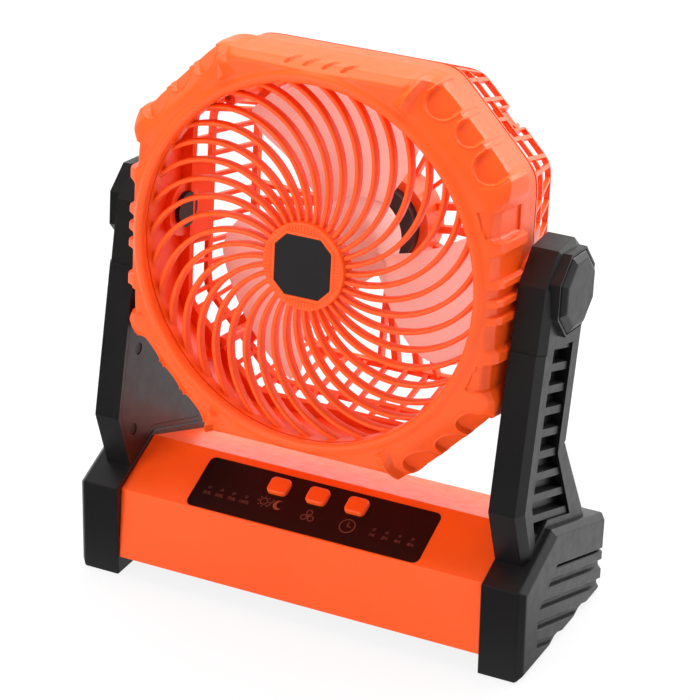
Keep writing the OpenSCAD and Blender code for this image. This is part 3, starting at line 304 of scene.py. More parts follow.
# Finger cups: place along the facet, radius and distance of the centre from the facet's front edge
CUPS = ((-18.6, 7.6, 12.6), (0.0, 6.2, 14.6), (18.6, 7.6, 12.6))
CUP_DEPTH, RIDGE_HEIGHT, RIDGE_HALF = 2.2, 0.45, 0.75
FACET_START, FACET_HALF = FACE_CORNER - 4, 32.0
KNUCKLE_ANGLE, KNUCKLE_HALF = math.radians(28.3), math.radians(3.4)
KNUCKLE_HEIGHT, LEVEL_KNUCKLE_HEIGHT = 2.6, 0.6
WEDGE_HEIGHT, WEDGE_IN, WEDGE_OUT, WEDGE_WIDE, WEDGE_NARROW = 4.2, 95.8, 105.0, 6.8, 2.6
WEDGE_OUTWARD, WEDGE_FORWARD = 0.3, 0.95
POCKET_Y, POCKET_HALF, POCKET_R, POCKET_DEPTH = 37.6, 6.2, 98.2, 1.5
POCKET_INWARD, POCKET_BACKWARD = 0.75, 0.66
FASCIA_FLARE, FASCIA_END_D = 2.0, 15.0
GRIP_HEIGHT, GRIP_PITCH, GRIP_PAD_Y, GRIP_REACH = 3.0, 8.6, 26.5, math.radians(27)
NOTCH_PLACES, NOTCH_DEPTH, NOTCH_SLANT, NOTCH_REACH = (-15.0, -5.0, 5.0, 15.0), 1.5, 0.45, math.radians(15)
BOSS_R, BOSS_INNER, BOSS_OUTER = 14.0, 91.5, 100.5
POST_C, POST_R, POST_FRONT_D, POST_BACK_D = 89.3, 3.0, 8.0, -21.4
GUSSET_T, GUSSET_REACH, GUSSET_BACK_D = 3.0, 104.7, -2.4
BEZEL_COLUMNS = 1800


def octagon_radius(angle, flat, corner, sharpness=CORNER_SHARPNESS):
    """Radius of an octagon with rounded corners: flats at 0, 90..., corner facets at 45, 135... degrees."""
    total = np.zeros_like(angle)
    for side in range(8):
        share = 1.0 if side % 2 == 0 else flat / corner
        total += (share * np.clip(np.cos(angle - side * math.pi / 4), 0, None)) ** sharpness
    return flat * total ** (-1 / sharpness)


def from_flat(angle):
    """Angle from the middle of the nearest flat side, up to 45 degrees at the middle of a corner facet."""
    return np.abs((angle + math.pi / 4) % (math.pi / 2) - math.pi / 4)


def is_level(angle):
    """True in the quarters of the top and bottom sides."""
    return np.abs(np.sin(angle)) > np.abs(np.cos(angle))


def bezel_stations(angle):
    """Control points (radius, depth) of the bezel's closed cross-section, and samples on the span after each."""
    cornered = step(from_flat(angle), math.radians(25), math.radians(33))

    def ring(radius, depth, samples):
        return np.full_like(angle, radius), np.full_like(angle, depth), samples

    def octagon(flat, corner, depth, samples):
        return octagon_radius(angle, flat, corner), np.full_like(angle, depth), samples

    def slope(share, samples):
        radius = octagon_radius(angle, FACE_FLAT + share * (HEAD_FLAT - FACE_FLAT),
                                FACE_CORNER + share * (HEAD_CORNER - 0.5 - FACE_CORNER))
        depth = FACE_D - share * (BROW_DROP + (CROWN_DROP - BROW_DROP) * cornered)
        return radius, depth, samples

    def wall(share, samples):
        return octagon(HEAD_FLAT + share * (SEAM_FLAT - HEAD_FLAT), HEAD_CORNER + share * (SEAM_CORNER - HEAD_CORNER),
                       CHEEK_D + share * (SEAM_D - CHEEK_D), samples)

    seat_d, hollow_d = FACE_D - SEAT_DROP, FACE_D - HOLLOW_DROP
    seat = [ring(GRILLE_SEAT_R, hollow_d, 1), ring(GRILLE_SEAT_R, seat_d, 1), ring(OPENING_R, seat_d, 1)]
    lip = [ring(OPENING_R + out, FACE_D + up, samples) for out, up, samples in LIP_PROFILE]
    face = [slope(0.06, 12), slope(0.36, 13), slope(0.68, 13), slope(1.0, 6), slope(1.0, 6)]
    side = [octagon(HEAD_FLAT, HEAD_CORNER, CHEEK_D + 3.5, 6), wall(0.0, 16), wall(0.3, 14), wall(0.7, 4),
            wall(1.0, 1), wall(1.0, 2)]
    inside = [octagon(SEAM_FLAT - SHELL, SEAM_CORNER - SHELL, SEAM_D, 1),
              octagon(SEAM_FLAT - SHELL, SEAM_CORNER - SHELL, SEAM_D, 2),
              octagon(HEAD_FLAT - SHELL, HEAD_CORNER - 2 * SHELL, CHEEK_D, 2),
              octagon(HEAD_FLAT - SHELL, HEAD_CORNER - 3 * SHELL, hollow_d, 2)]
    return seat + lip + face + side + inside


def closed_spline(stations):
    """Samples of a closed cubic B-spline with the stations as its poles, as two arrays (samples, columns)."""
    radii, depths = [], []
    count = len(stations)
    for k in range(count):
        before, here, after, beyond = (stations[(k + o) % count] for o in (-1, 0, 1, 2))
        for n in range(here[2]):
            t = n / here[2]
            weights = ((1 - t) ** 3 / 6, (3 * t ** 3 - 6 * t ** 2 + 4) / 6,
                       (-3 * t ** 3 + 3 * t ** 2 + 3 * t + 1) / 6, t ** 3 / 6)
            four = (before, here, after, beyond)
            radii.append(sum(w * p[0] for w, p in zip(weights, four)))
            depths.append(sum(w * p[1] for w, p in zip(weights, four)))
    return np.array(radii), np.array(depths)


def raise_knuckles(angle, radius, depth):
    """Swellings beside each corner of the octagon, and the fascia's flare with its step down to the side wall."""
    fold = from_flat(angle)
    near = step(np.abs(fold - KNUCKLE_ANGLE), KNUCKLE_HALF + math.radians(1.0), KNUCKLE_HALF - math.radians(1.6))
    flat = step(fold, math.radians(34), math.radians(30))
    front = step(depth, FACE_D - 0.4, FACE_D - 5)
    height = np.where(is_level(angle), LEVEL_KNUCKLE_HEIGHT, KNUCKLE_HEIGHT)
    ends = step(depth, FASCIA_END_D - 0.6, FASCIA_END_D + 0.6)
    flare = np.clip((FACE_D - 5 - depth) / (FACE_D - 5 - FASCIA_END_D), 0.0, 1.0)
    return radius + ends * (front * (height * near)[None, :] + flare * FASCIA_FLARE * flat[None, :])


def raise_wedges(angle, radius, depth):
    """A roof-shaped ridge on the upper and lower knuckles, wide at the opening and narrow at the side."""
    offset = np.abs(from_flat(angle) - KNUCKLE_ANGLE)[None, :] * radius
    share = np.clip((radius - WEDGE_IN) / (WEDGE_OUT - WEDGE_IN), 0.0, 1.0)
    half = WEDGE_WIDE + (WEDGE_NARROW - WEDGE_WIDE) * share
    roof = step(share, 0.0, 0.12) * (0.6 + 0.4 * share) * np.clip(1 - offset / half, 0.0, 1.0)
    height = WEDGE_HEIGHT * roof * is_level(angle)[None, :] * step(depth, CHEEK_D + 2, CHEEK_D + 9)
    return radius + WEDGE_OUTWARD * height, depth + WEDGE_FORWARD * height


def raise_grips(angle, radius, depth):
    """Grip ribs and pads on the two upright sides."""
    height = radius * np.sin(angle)[None, :]
    upright = (np.abs(np.cos(angle)) > math.cos(GRIP_REACH))[None, :]
    along = step(depth, FACE_D - 0.3, FACE_D - 4) * step(depth, FASCIA_END_D - 1, FASCIA_END_D + 1.5)
    ribs = np.zeros_like(radius)
    for place in (-GRIP_PITCH, 0.0, GRIP_PITCH):
        ribs = np.maximum(ribs, step(np.abs(height - place), 2.6, 1.4))
    for place in (-GRIP_PAD_Y, GRIP_PAD_Y):
        ribs = np.maximum(ribs, step(np.abs(height - place), 4.0, 2.2))
    return radius + upright * GRIP_HEIGHT * ribs * along


def cut_notches(angle, radius, depth):
    """Four slanted notches in the middle of the top and bottom sides."""
    across = radius * np.cos(angle)[None, :]
    level = (np.abs(np.sin(angle)) > math.cos(NOTCH_REACH))[None, :]
    slant = across + NOTCH_SLANT * (depth - (FACE_D - BROW_DROP))
    notch = np.zeros_like(radius)
    for place in NOTCH_PLACES:
        notch = np.maximum(notch, step(np.abs(slant - place), 2.0, 1.1))
    along = step(depth, FACE_D - 3, FACE_D - 4.5) * step(depth, FACE_D - 12, FACE_D - 10)
    return radius - NOTCH_DEPTH * level * notch * along


def press_cups(x, y, depth):
    """Three finger cups in each corner facet, rounded towards the opening and open towards the side wall."""
    rise = math.atan2(CROWN_DROP, HEAD_CORNER - 0.5 - FACE_CORNER)
    for corner in range(4):
        heading = math.pi / 4 + corner * math.pi / 2
        out = x * math.cos(heading) + y * math.sin(heading)
        across = y * math.cos(heading) - x * math.sin(heading)
        down = (out - FACE_CORNER) * math.cos(rise) + (FACE_D - depth) * math.sin(rise)
        above = (out - FACE_CORNER) * math.sin(rise) - (FACE_D - depth) * math.cos(rise)
        inside, ridge = np.zeros_like(x), np.zeros_like(x)
        for place, cup_r, start in CUPS:
            edge = np.where(down > start, np.abs(across - place), np.hypot(across - place, down - start)) - cup_r
            inside = np.maximum(inside, step(edge, 0.5, -0.7))
            ridge = np.maximum(ridge, step(np.abs(edge - 0.8), RIDGE_HALF, 0.15))
        here = (out > FACET_START) & (np.abs(across) < FACET_HALF)
        lines = ridge * step(depth, FASCIA_END_D - 10, FASCIA_END_D - 2)
        sink = np.where(here, inside * np.clip(above + CUP_DEPTH, 0, None) - RIDGE_HEIGHT * lines, 0.0)
        x = x - sink * math.sin(rise) * math.cos(heading)
        y = y - sink * math.sin(rise) * math.sin(heading)
        depth = depth - sink * math.cos(rise)
    return x, y, depth


def press_pockets(x, y, depth):
    """Flat pockets beyond the grip pads, across the edge between the face and the upright sides."""
    inside = step(np.abs(np.abs(y) - POCKET_Y), POCKET_HALF + 0.5, POCKET_HALF - 0.4)
    inside = inside * step(np.hypot(x, y), POCKET_R - 0.5, POCKET_R + 0.4)
    inside = inside * step(depth, FASCIA_END_D + 4, FASCIA_END_D + 5)
    sink = np.where(np.abs(x) > np.abs(y), POCKET_DEPTH * inside, 0.0)
    return x - POCKET_INWARD * np.sign(x) * sink, y, depth - POCKET_BACKWARD * sink


def side_frame(side):
    """Directions out of a side of the octagon and along it."""
    heading = side * math.pi / 4
    return Vector((math.cos(heading), math.sin(heading), 0)), Vector((-math.sin(heading), math.cos(heading), 0))


def add_bezel_fixings(builder):
    """Hinge bosses at both sides, and in each corner a screw post held by a gusset."""
    for side in (-1, 1):
        builder.prism([(side * BOSS_INNER, a, b) for a, b in circle(BOSS_R)],
                      (side * (BOSS_OUTER - BOSS_INNER), 0, 0))
    for corner in range(4):
        out, along = side_frame(2 * corner + 1)
        post = out * POST_C
        builder.prism([(post.x + a, post.y + b, POST_FRONT_D) for a, b in circle(POST_R)],
                      (0, 0, POST_BACK_D - POST_FRONT_D))
        near, far = out * POST_C - along * GUSSET_T / 2, out * GUSSET_REACH - along * GUSSET_T / 2
        builder.prism([(near.x, near.y, POST_FRONT_D), (far.x, far.y, POST_FRONT_D),
                       (far.x, far.y, GUSSET_BACK_D), (near.x, near.y, GUSSET_BACK_D)], along * GUSSET_T)


def make_bezel():
    angle = np.linspace(0, 2 * math.pi, BEZEL_COLUMNS, endpoint=False)
    radius, depth = closed_spline(bezel_stations(angle))
    outer = radius > OPENING_R + 4
    shaped = raise_knuckles(angle, radius, depth)
    shaped = raise_grips(angle, shaped, depth)
    shaped = cut_notches(angle, shaped, depth)
    shaped, lifted = raise_wedges(angle, shaped, depth)
    # The outer skin runs from the grille's seat to the rear edge; the inside keeps its plain section
    skin = np.zeros_like(outer)
    rear_edge = int(np.argmin(depth[:, 0]))
    skin[:rear_edge + 1] = True
    radius = np.where(outer & skin, shaped, radius)
    depth = np.where(outer & skin, lifted, depth)
    x, y = radius * np.cos(angle), radius * np.sin(angle)
    cupped = press_pockets(*press_cups(x, y, depth))
    x, y, depth = (np.where(skin, new, old) for new, old in zip(cupped, (x, y, depth)))
    builder = Builder()
    builder.grid(np.stack([x, y, depth], axis=-1).transpose(1, 0, 2)[:, ::-1], True, True)
    add_bezel_fixings(builder)
    piece = new_piece("bezel_moulding", builder, HEAD, "orange", "head")
    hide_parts("front_bezel")


# Rear cage: flange, side bars, middle band, screw wells, rear rim, and spokes to the motor cup

CAGE_DEPTHS, CAGE_FLATS, CAGE_CORNERS = (-56.0, -3.0), (82.0, 97.5), (87.5, 106.0)
FLANGE_D, BAND_FRONT_D, BAND_BACK_D, RIM_D = -6.0, -22.4, -25.2, -53.2
FLANGE_W, CAGE_WALL, RIM_W, BAR_W, BAR_PITCH = 8.0, 2.4, 3.0, 2.2, 11.6
CAGE_SHARPNESS = 48
JOIN = 0.5
HINGE_PANEL, HINGE_CUT_R = 21.0, 14.3
WELL_C, WELL_HALF, WELL_T, WELL_FRONT_D, WELL_BACK_D = 84.5, 6.0, 1.2, -21.4, -24.7
SPOKE_COUNT, SPOKE_W, SPOKE_IN, SPOKE_TURN, SPOKE_DEPTHS = 16, 2.0, 24.0, math.radians(9), (-50.4, -55.4)
MOTOR_ARM_PLACES, MOTOR_ARM_W, MOTOR_ARM_DEPTHS = (-6.0, 6.0), 3.5, (-50.5, -54.9)
# The motor cup with the lamp's recess behind it, as (radius, depth)
CUP_OUTLINE = ((26.0, -38.0), (26.0, -56.5), (24.0, -56.5), (24.0, -54.0), (4.0, -54.0), (4.0, -52.0),
               (21.2, -52.0), (21.2, -38.0))


def cage_reach(depth, side):
    """Distance of a side of the cage's octagon from the axis; even sides are flats, odd ones corner facets."""
    return np.interp(depth, CAGE_DEPTHS, CAGE_FLATS if side % 2 == 0 else CAGE_CORNERS)


def cage_outline(angle, depth, inset=0.0):
    """Radius of the cage's outside, an octagon with rounded corners."""
    return octagon_radius(angle, cage_reach(depth, 0) - inset, cage_reach(depth, 1) - inset, CAGE_SHARPNESS)


def add_cage_ring(builder, front, back, inward, notched=False, columns=960):
    """A ring of the cage's wall; the rear rim steps in round the screw wells."""
    angle = np.linspace(0, 2 * math.pi, columns, endpoint=False)
    rows = []
    for depth, inset in ((front, 0.0), (back, 0.0), (back, inward), (front, inward)):
        radius = cage_outline(angle, depth, inset)
        for side in (1, 3, 5, 7) if notched else ():
            away = angle - side * math.pi / 4
            near = (np.cos(away) > 0.9) & (np.abs(radius * np.sin(away)) < WELL_HALF)
            radius = np.where(near, (WELL_C - inset) / np.cos(away), radius)
        rows.append(np.stack([radius * np.cos(angle), radius * np.sin(angle), np.full_like(angle, depth)], axis=-1))
    builder.grid(np.array(rows).transpose(1, 0, 2), True, True)


def add_cage_bar(builder, front, back, out, along):
    """A bar of the cage's wall from one outer point to another, with its thickness towards the axis."""
    outline = [front + along * a - out * b for a, b in ((-BAR_W / 2, 0), (BAR_W / 2, 0), (BAR_W / 2, CAGE_WALL),
                                                        (-BAR_W / 2, CAGE_WALL))]
    builder.prism([tuple(point) for point in outline], back - front)


def add_side_bars(builder, side, front, back, places):
    out, along = side_frame(side)
    for place in places:
        ends = [out * cage_reach(depth, side) + along * place + Vector((0, 0, depth)) for depth in (front, back)]
        add_cage_bar(builder, *ends, out, along)


def add_vertex_bar(builder, side, front, back):
    """A bar along the edge between a side of the octagon and the next one."""
    ends = []
    for depth in (front, back):
        out, along = side_frame(side)
        reach, other = cage_reach(depth, side), cage_reach(depth, side + 1)
        edge = out * reach + along * (other * math.sqrt(2) - reach)
        radius = cage_outline(np.array([math.atan2(edge.y, edge.x)]), depth)[0]
        ends.append(edge.normalized() * radius + Vector((0, 0, depth)))
    add_cage_bar(builder, *ends, *side_frame(side + 0.5))


def add_well(builder, side):
    """The recess for a cage screw: a floor at the middle band, two walls and a back."""
    out, along = side_frame(side)

    def at(reach, place, depth):
        return tuple(out * reach + along * place + Vector((0, 0, depth)))

    wide = WELL_HALF + WELL_T
    inner, front, rear = WELL_C - WELL_T, cage_reach(WELL_BACK_D, side) - 0.4, cage_reach(RIM_D, side) - 0.4
    builder.prism([at(inner, -wide, WELL_FRONT_D), at(front, -wide, WELL_FRONT_D), at(front, wide, WELL_FRONT_D),
                   at(inner, wide, WELL_FRONT_D)], (0, 0, WELL_BACK_D - WELL_FRONT_D))
    for place in (-wide, WELL_HALF):
        builder.prism([at(inner, place, WELL_BACK_D), at(front, place, WELL_BACK_D), at(rear, place, RIM_D - 1),
                       at(inner, place, RIM_D - 1)], along * WELL_T)
    builder.prism([at(inner, -wide, WELL_BACK_D), at(WELL_C, -wide, WELL_BACK_D), at(WELL_C, wide, WELL_BACK_D),
                   at(inner, wide, WELL_BACK_D)], (0, 0, RIM_D - 1 - WELL_BACK_D))


def add_hinge_panel(builder, side):
    """The closed wall beside a hinge boss, cut round for it."""
    turn = math.asin(FLANGE_D / HINGE_CUT_R)
    arc = [(HINGE_CUT_R * math.cos(a), HINGE_CUT_R * math.sin(a))
           for a in np.linspace(math.pi - turn, 2 * math.pi + turn, 25)]
    outline = [(HINGE_PANEL, FLANGE_D), (HINGE_PANEL, BAND_FRONT_D), (-HINGE_PANEL, BAND_FRONT_D),
               (-HINGE_PANEL, FLANGE_D)] + arc
    builder.prism([(side * cage_reach(depth, 0), place, depth) for place, depth in outline],
                  (-side * CAGE_WALL, 0, 0))


def add_spoke(builder, turn, reach, place, width, depths):
    """A bar from the motor cup to the rear rim, moved sideways by place."""
    out, along = side_frame(turn * 4 / math.pi)
    outline = [out * r + along * a for r, a in ((SPOKE_IN, place - width / 2), (reach, place - width / 2),
                                                (reach, place + width / 2), (SPOKE_IN, place + width / 2))]
    builder.prism([(point.x, point.y, depths[0]) for point in outline], (0, 0, depths[1] - depths[0]))


def make_cage():
    builder = Builder()
    add_cage_ring(builder, CAGE_DEPTHS[1] - 0.1, FLANGE_D, FLANGE_W)
    add_cage_ring(builder, BAND_FRONT_D, BAND_BACK_D, CAGE_WALL)
    add_cage_ring(builder, RIM_D, CAGE_DEPTHS[0], RIM_W, notched=True)
    level = [place * BAR_PITCH for place in range(-3, 4)]
    facet = [place * BAR_PITCH for place in range(-2, 3)]
    upright = [-HINGE_PANEL - BAR_PITCH, -HINGE_PANEL, HINGE_PANEL, HINGE_PANEL + BAR_PITCH]
    for side in range(8):
        front_places = facet if side % 2 else upright if side % 4 == 0 else level
        rear_places = [place for place in facet if place] if side % 2 else level
        add_side_bars(builder, side, FLANGE_D + JOIN, BAND_FRONT_D - JOIN, front_places)
        add_side_bars(builder, side, BAND_BACK_D + JOIN, RIM_D - JOIN, rear_places)
        add_vertex_bar(builder, side, FLANGE_D + JOIN, RIM_D - JOIN)
        if side % 2:
            add_well(builder, side)
    for side in (-1, 1):
        add_hinge_panel(builder, side)
    for n in range(SPOKE_COUNT):
        turn = SPOKE_TURN + (n + 0.5) * 2 * math.pi / SPOKE_COUNT
        reach = cage_outline(np.array([turn]), CAGE_DEPTHS[0])[0] - RIM_W / 2
        add_spoke(builder, turn, reach, 0.0, SPOKE_W, SPOKE_DEPTHS)
    for n in range(4):
        for place in MOTOR_ARM_PLACES:
            add_spoke(builder, SPOKE_TURN + n * math.pi / 2, CAGE_FLATS[0] - RIM_W / 2, place, MOTOR_ARM_W,
                      MOTOR_ARM_DEPTHS)
    add_ring(builder, CUP_OUTLINE, 96)
    piece = new_piece("cage_moulding", builder, HEAD, "orange", "head")
    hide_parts("rear_cage")


# Spiral grille

RIB_COUNT, RIB_ARC_R, RIB_START, RIB_END = 36, 48.0, 20.0, OPENING_R + 1.6
RIB_WIDTH, RIB_DEPTH, RIB_DROP = 2.4, 5.0, 6.0
HUB_R, HUB_FACE_D, HUB_DEPTH = 22.0, 45.0, 9.0
BADGE_FLAT, BADGE_CORNER, BADGE_GAP, BADGE_SHARPNESS = 15.0, 17.0, 0.15, 400
HUB_TEETH, HUB_BORDER = 72, 1.5
GRILLE_RING_W, GRILLE_RING_H = 3.2, 6.0
RIB_STEPS = 40


def rib_section(width, height, corner=1.05, foot=0.5, arc=4):
    """Outline of a rib, from its top at 0 down, with a round top and slightly rounded foot."""
    outline = []
    corners = ((1, -corner, corner), (-1, -corner, corner), (-1, foot - height, foot), (1, foot - height, foot))
    for quarter, (side, middle, reach) in enumerate(corners):
        for n in range(arc + 1):
            turn = math.radians(90 * (quarter + n / arc))
            outline.append((side * (width / 2 - reach) + reach * math.cos(turn), middle + reach * math.sin(turn)))
    return outline


def add_rib(builder, start_angle):
    """A closed bar along an arc that leaves the hub radially and sinks towards the rim."""
    reach = math.hypot(RIB_START, RIB_ARC_R)
    sweep = math.acos((reach ** 2 + RIB_ARC_R ** 2 - RIB_END ** 2) / (2 * reach * RIB_ARC_R)) \
        - math.atan2(RIB_START, RIB_ARC_R)
    chord = 2 * RIB_ARC_R * math.sin(sweep / 2)
    outline = rib_section(RIB_WIDTH, RIB_DEPTH)
    rows = []
    for n in range(RIB_STEPS + 1):
        turn = sweep * n / RIB_STEPS
        x = RIB_START + RIB_ARC_R * math.sin(turn)
        y = RIB_ARC_R * (1 - math.cos(turn))
        along = 2 * RIB_ARC_R * math.sin(turn / 2) * math.cos((sweep - turn) / 2) / chord
        top = HUB_FACE_D - 2 - RIB_DROP * along
        row = []
        for across, up in outline:
            px, py = x - across * math.sin(turn), y + across * math.cos(turn)
            row.append((px * math.cos(start_angle) - py * math.sin(start_angle),
                        px * math.sin(start_angle) + py * math.cos(start_angle), top + up))
        rows.append(row)
    builder.solid(rows)


def add_hub(builder, columns=720):
    """The hub: a plain rim, fine radial ribs beside the badge's four flats and a raised frame round the badge."""
    angle = np.linspace(0, 2 * math.pi, columns, endpoint=False)
    hole = octagon_radius(angle, BADGE_FLAT + BADGE_GAP, BADGE_CORNER + BADGE_GAP, BADGE_SHARPNESS)
    group = step(from_flat(angle), math.radians(31), math.radians(27))
    teeth = step(np.cos(angle * HUB_TEETH), -0.2, 0.6) * group
    frame_edge, rim_edge = hole + HUB_BORDER, HUB_R - HUB_BORDER
    # Radius, drop from the hub's face and height of the ribs there
    stations = [
        (hole, -1.3, 0.0), (hole, -0.1, 0.0), (hole + 0.2, 0.1, 0.0), (frame_edge - 0.3, 0.1, 0.0),
        (frame_edge, -0.1, 0.0), (frame_edge + 0.35, -0.45, 0.0), (frame_edge + 0.6, -0.45, 0.35),
        (0.5 * frame_edge + 0.5 * rim_edge, -0.45, 0.4), (rim_edge - 0.1, -0.45, 0.35),
        (rim_edge + 0.1, -0.35, 0.0), (HUB_R - 1.0, -0.3, 0.0), (HUB_R - 0.35, -0.6, 0.0), (HUB_R, -1.3, 0.0),
        (HUB_R, -HUB_DEPTH, 0.0), (HUB_R - 2.0, -HUB_DEPTH, 0.0), (hole - 1.0, -HUB_DEPTH, 0.0),
        (hole - 1.0, -1.3, 0.0),
    ]
    rows = []
    for radius, drop, tooth in stations:
        level = HUB_FACE_D + drop + tooth * teeth
        rows.append(np.stack([radius * np.cos(angle), radius * np.sin(angle), level], axis=-1))
    builder.grid(np.array(rows).transpose(1, 0, 2)[:, ::-1], True, True)


def make_grille():
    builder = Builder()
    for n in range(RIB_COUNT):
        add_rib(builder, 2 * math.pi * n / RIB_COUNT)
    add_hub(builder)
    top, low, outer = FACE_D - SEAT_DROP, FACE_D - SEAT_DROP - GRILLE_RING_H, OPENING_R + GRILLE_RING_W
    add_ring(builder, [(OPENING_R, low), (OPENING_R, top), (outer, top), (outer, low)])
    piece = new_piece("spiral_grille", builder, HEAD, "orange", "head")
    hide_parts("front_grille")


# Fan blades

BLADE_COUNT, BLADE_ROOT_R, BLADE_TIP_R, FAN_HUB_R = 3, 19.0, 80.0, 21.0
BLADE_ROOT_H, BLADE_TIP_H, BLADE_T, BLADE_CAMBER = 24.0, 18.0, 1.8, 3.5
BLADE_ROOT_HALF, BLADE_TIP_HALF, BLADE_SWEEP = 32, 39, 14
FAN_FRONT_D, FAN_BACK_D = 9.0, -18.5
BLADE_ALONG, BLADE_ACROSS = 30, 36
# The hub round the motor shaft, as (radius, depth)
FAN_HUB_OUTLINE = ((2.2, FAN_BACK_D), (2.2, FAN_FRONT_D - 5), (2.3, FAN_FRONT_D), (FAN_HUB_R - 6, FAN_FRONT_D),
                   (FAN_HUB_R - 3, FAN_FRONT_D - 1), (FAN_HUB_R - 0.8, FAN_FRONT_D - 3), (FAN_HUB_R, FAN_FRONT_D - 6),
                   (FAN_HUB_R, FAN_BACK_D))


def blade_point(u, v, side):
    """A point of the blade: u from root to tip, v from leading to trailing edge, side -1 or 1 of its thickness."""
    radius = BLADE_ROOT_R + (BLADE_TIP_R - BLADE_ROOT_R) * u
    height = BLADE_ROOT_H + (BLADE_TIP_H - BLADE_ROOT_H) * u
    half = (BLADE_ROOT_HALF + (BLADE_TIP_HALF - BLADE_ROOT_HALF) * u) * math.sqrt(1 - 0.5 * u ** 6)
    turn = math.radians((2 * v - 1) * half + BLADE_SWEEP * u * u)
    thin = BLADE_T * (1 - 0.55 * abs(2 * v - 1) ** 5) * (1 - 0.4 * u ** 8)
    depth = (FAN_FRONT_D + FAN_BACK_D) / 2 - 1 - (0.5 - v) * height
    depth = depth - BLADE_CAMBER * math.sin(math.pi * v) - side * thin / 2
    return radius * math.cos(turn), radius * math.sin(turn), depth


def make_fan():
    builder = Builder()
    for blade in range(BLADE_COUNT):
        turn = Matrix.Rotation(math.pi / 2 + blade * 2 * math.pi / BLADE_COUNT, 3, "Z")
        rows = []
        for i in range(BLADE_ALONG + 1):
            u = i / BLADE_ALONG
            near = [turn @ Vector(blade_point(u, j / BLADE_ACROSS, -1)) for j in range(BLADE_ACROSS + 1)]
            far = [turn @ Vector(blade_point(u, j / BLADE_ACROSS, 1)) for j in range(BLADE_ACROSS, -1, -1)]
            rows.append(near + far)
        first = builder.grid(rows, closed_columns=True)
        width = 2 * (BLADE_ACROSS + 1)
        last = first + BLADE_ALONG * width
        for j in range(BLADE_ACROSS):
            builder.faces.append((first + j + 1, first + j, first + width - 1 - j, first + width - 2 - j))
            builder.faces.append((last + j, last + j + 1, last + width - 2 - j, last + width - 1 - j))
    add_ring(builder, FAN_HUB_OUTLINE, 96)
    piece = new_piece("fan_moulding", builder, HEAD, "blade", "fan")
    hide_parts("fan_blades")


# Buttons: orange caps, rounded squares, each on a dark chamfered body that fills its hole in the plate

BUTTON_W, BUTTON_H, BUTTON_CHAMFER = 13.0, 10.6, 3.0
BUTTON_PITCH, BUTTON_Y = 21.9, 7.22
CAP_W, CAP_H, CAP_CORNER, CAP_CORNER_MIN, CAP_LOW, CAP_HIGH, PLATE_BACK = 11.4, 9.8, 2.7, 1.2, 0.6, 3.2, -0.8
# Inset and level of each row of the cap's rounded edge
CAP_ROWS = ((0.0, CAP_LOW), (0.0, 2.3), (0.2, 2.75), (0.6, 3.08), (1.1, CAP_HIGH), (1.6, CAP_HIGH))
FLANGE_LIP, FLANGE_T, STEM_R, STEM_L, PLATE_GAP = 1.0, 1.3, 2.0, 1.6, 0.3


def rounded_outline(x, y, width, height, corner, arc=6):
    outline = []
    for quarter, (side_x, side_y) in enumerate(((1, 1), (-1, 1), (-1, -1), (1, -1))):
        for n in range(arc + 1):
            turn = math.radians(90 * (quarter + n / arc))
            outline.append((x + side_x * (width / 2 - corner) + corner * math.cos(turn),
                            y + side_y * (height / 2 - corner) + corner * math.sin(turn)))
    return outline


def add_cap(builder, x, y):
    rows = []
    for inset, level in CAP_ROWS:
        corner = max(CAP_CORNER_MIN, CAP_CORNER - inset)
        outline = rounded_outline(x, y, CAP_W - 2 * inset, CAP_H - 2 * inset, corner)
        rows.append([(a, b, level) for a, b in outline])
    builder.solid(rows)


def add_key_body(builder, x, y):
    """The chamfered body in the plate, the flange behind it and the stem over the switch."""
    flange_high = PLATE_BACK - PLATE_GAP
    for grown, low, high in ((0.0, flange_high - 0.1, CAP_LOW + 0.1),
                             (FLANGE_LIP, flange_high - FLANGE_T, flange_high)):
        outline = rounded_outline(x, y, BUTTON_W + 2 * grown, BUTTON_H + 2 * grown, BUTTON_CHAMFER, 1)
        builder.prism([(a, b, low) for a, b in outline], (0, 0, high - low))
    builder.prism([(x + a, y + b, flange_high - FLANGE_T - STEM_L) for a, b in circle(STEM_R)], (0, 0, STEM_L + 0.1))


def make_buttons():
    for place, name in enumerate(("light", "speed", "timer")):
        cap, key_body = Builder(), Builder()
        add_cap(cap, (place - 1) * BUTTON_PITCH, BUTTON_Y)
        add_key_body(key_body, (place - 1) * BUTTON_PITCH, BUTTON_Y)
        piece = new_piece(name + "_cap", cap, PANEL, "orange", name + "_key")
        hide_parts(name + "_button")
        new_piece(name + "_body", key_body, PANEL, "panel", name + "_key")


# Print on the control plate: plain numbers under the lights and signs under the buttons

PRINT_LOW, PRINT_HIGH, PRINT_LINE = 0.76, 0.86, 0.48
LABEL_Y, LABEL_SIZE = -7.2, 2.7
SUN, MOON, FAN_SIGN, CLOCK = (-26.0, -2.9), (-17.6, -3.2), (0.0, -5.0), (22.0, -4.9)
SUN_R, RAY_COUNT, RAY_START, RAY_END = 1.9, 8, 2.7, 3.6
SLASH = (-22.9, -5.8), (-20.9, -0.6)
MOON_R, MOON_HALF_TURN, MOON_STEPS = 2.9, math.radians(118), 24
BITE_X, BITE_Y, BITE_HALF_W, BITE_HALF_H = 1.0, 0.4, 2.1, 2.2
FAN_EYE_R, PETAL_R, PETAL_REACH, PETAL_TURNS = 0.6, 1.5, 2.2, (90, 210, 330)
CLOCK_R, CLOCK_MIDDLE, CLOCK_HANDS = 4.0, (0.0, -0.2), ((0.0, 2.7), (2.0, -0.2))
LABELS = {"25%": -57.3, "50%": -50.2, "75%": -43.1, "100%": -36.0, "1H": 36.0, "2H": 43.1, "4H": 50.2, "8H": 57.3}


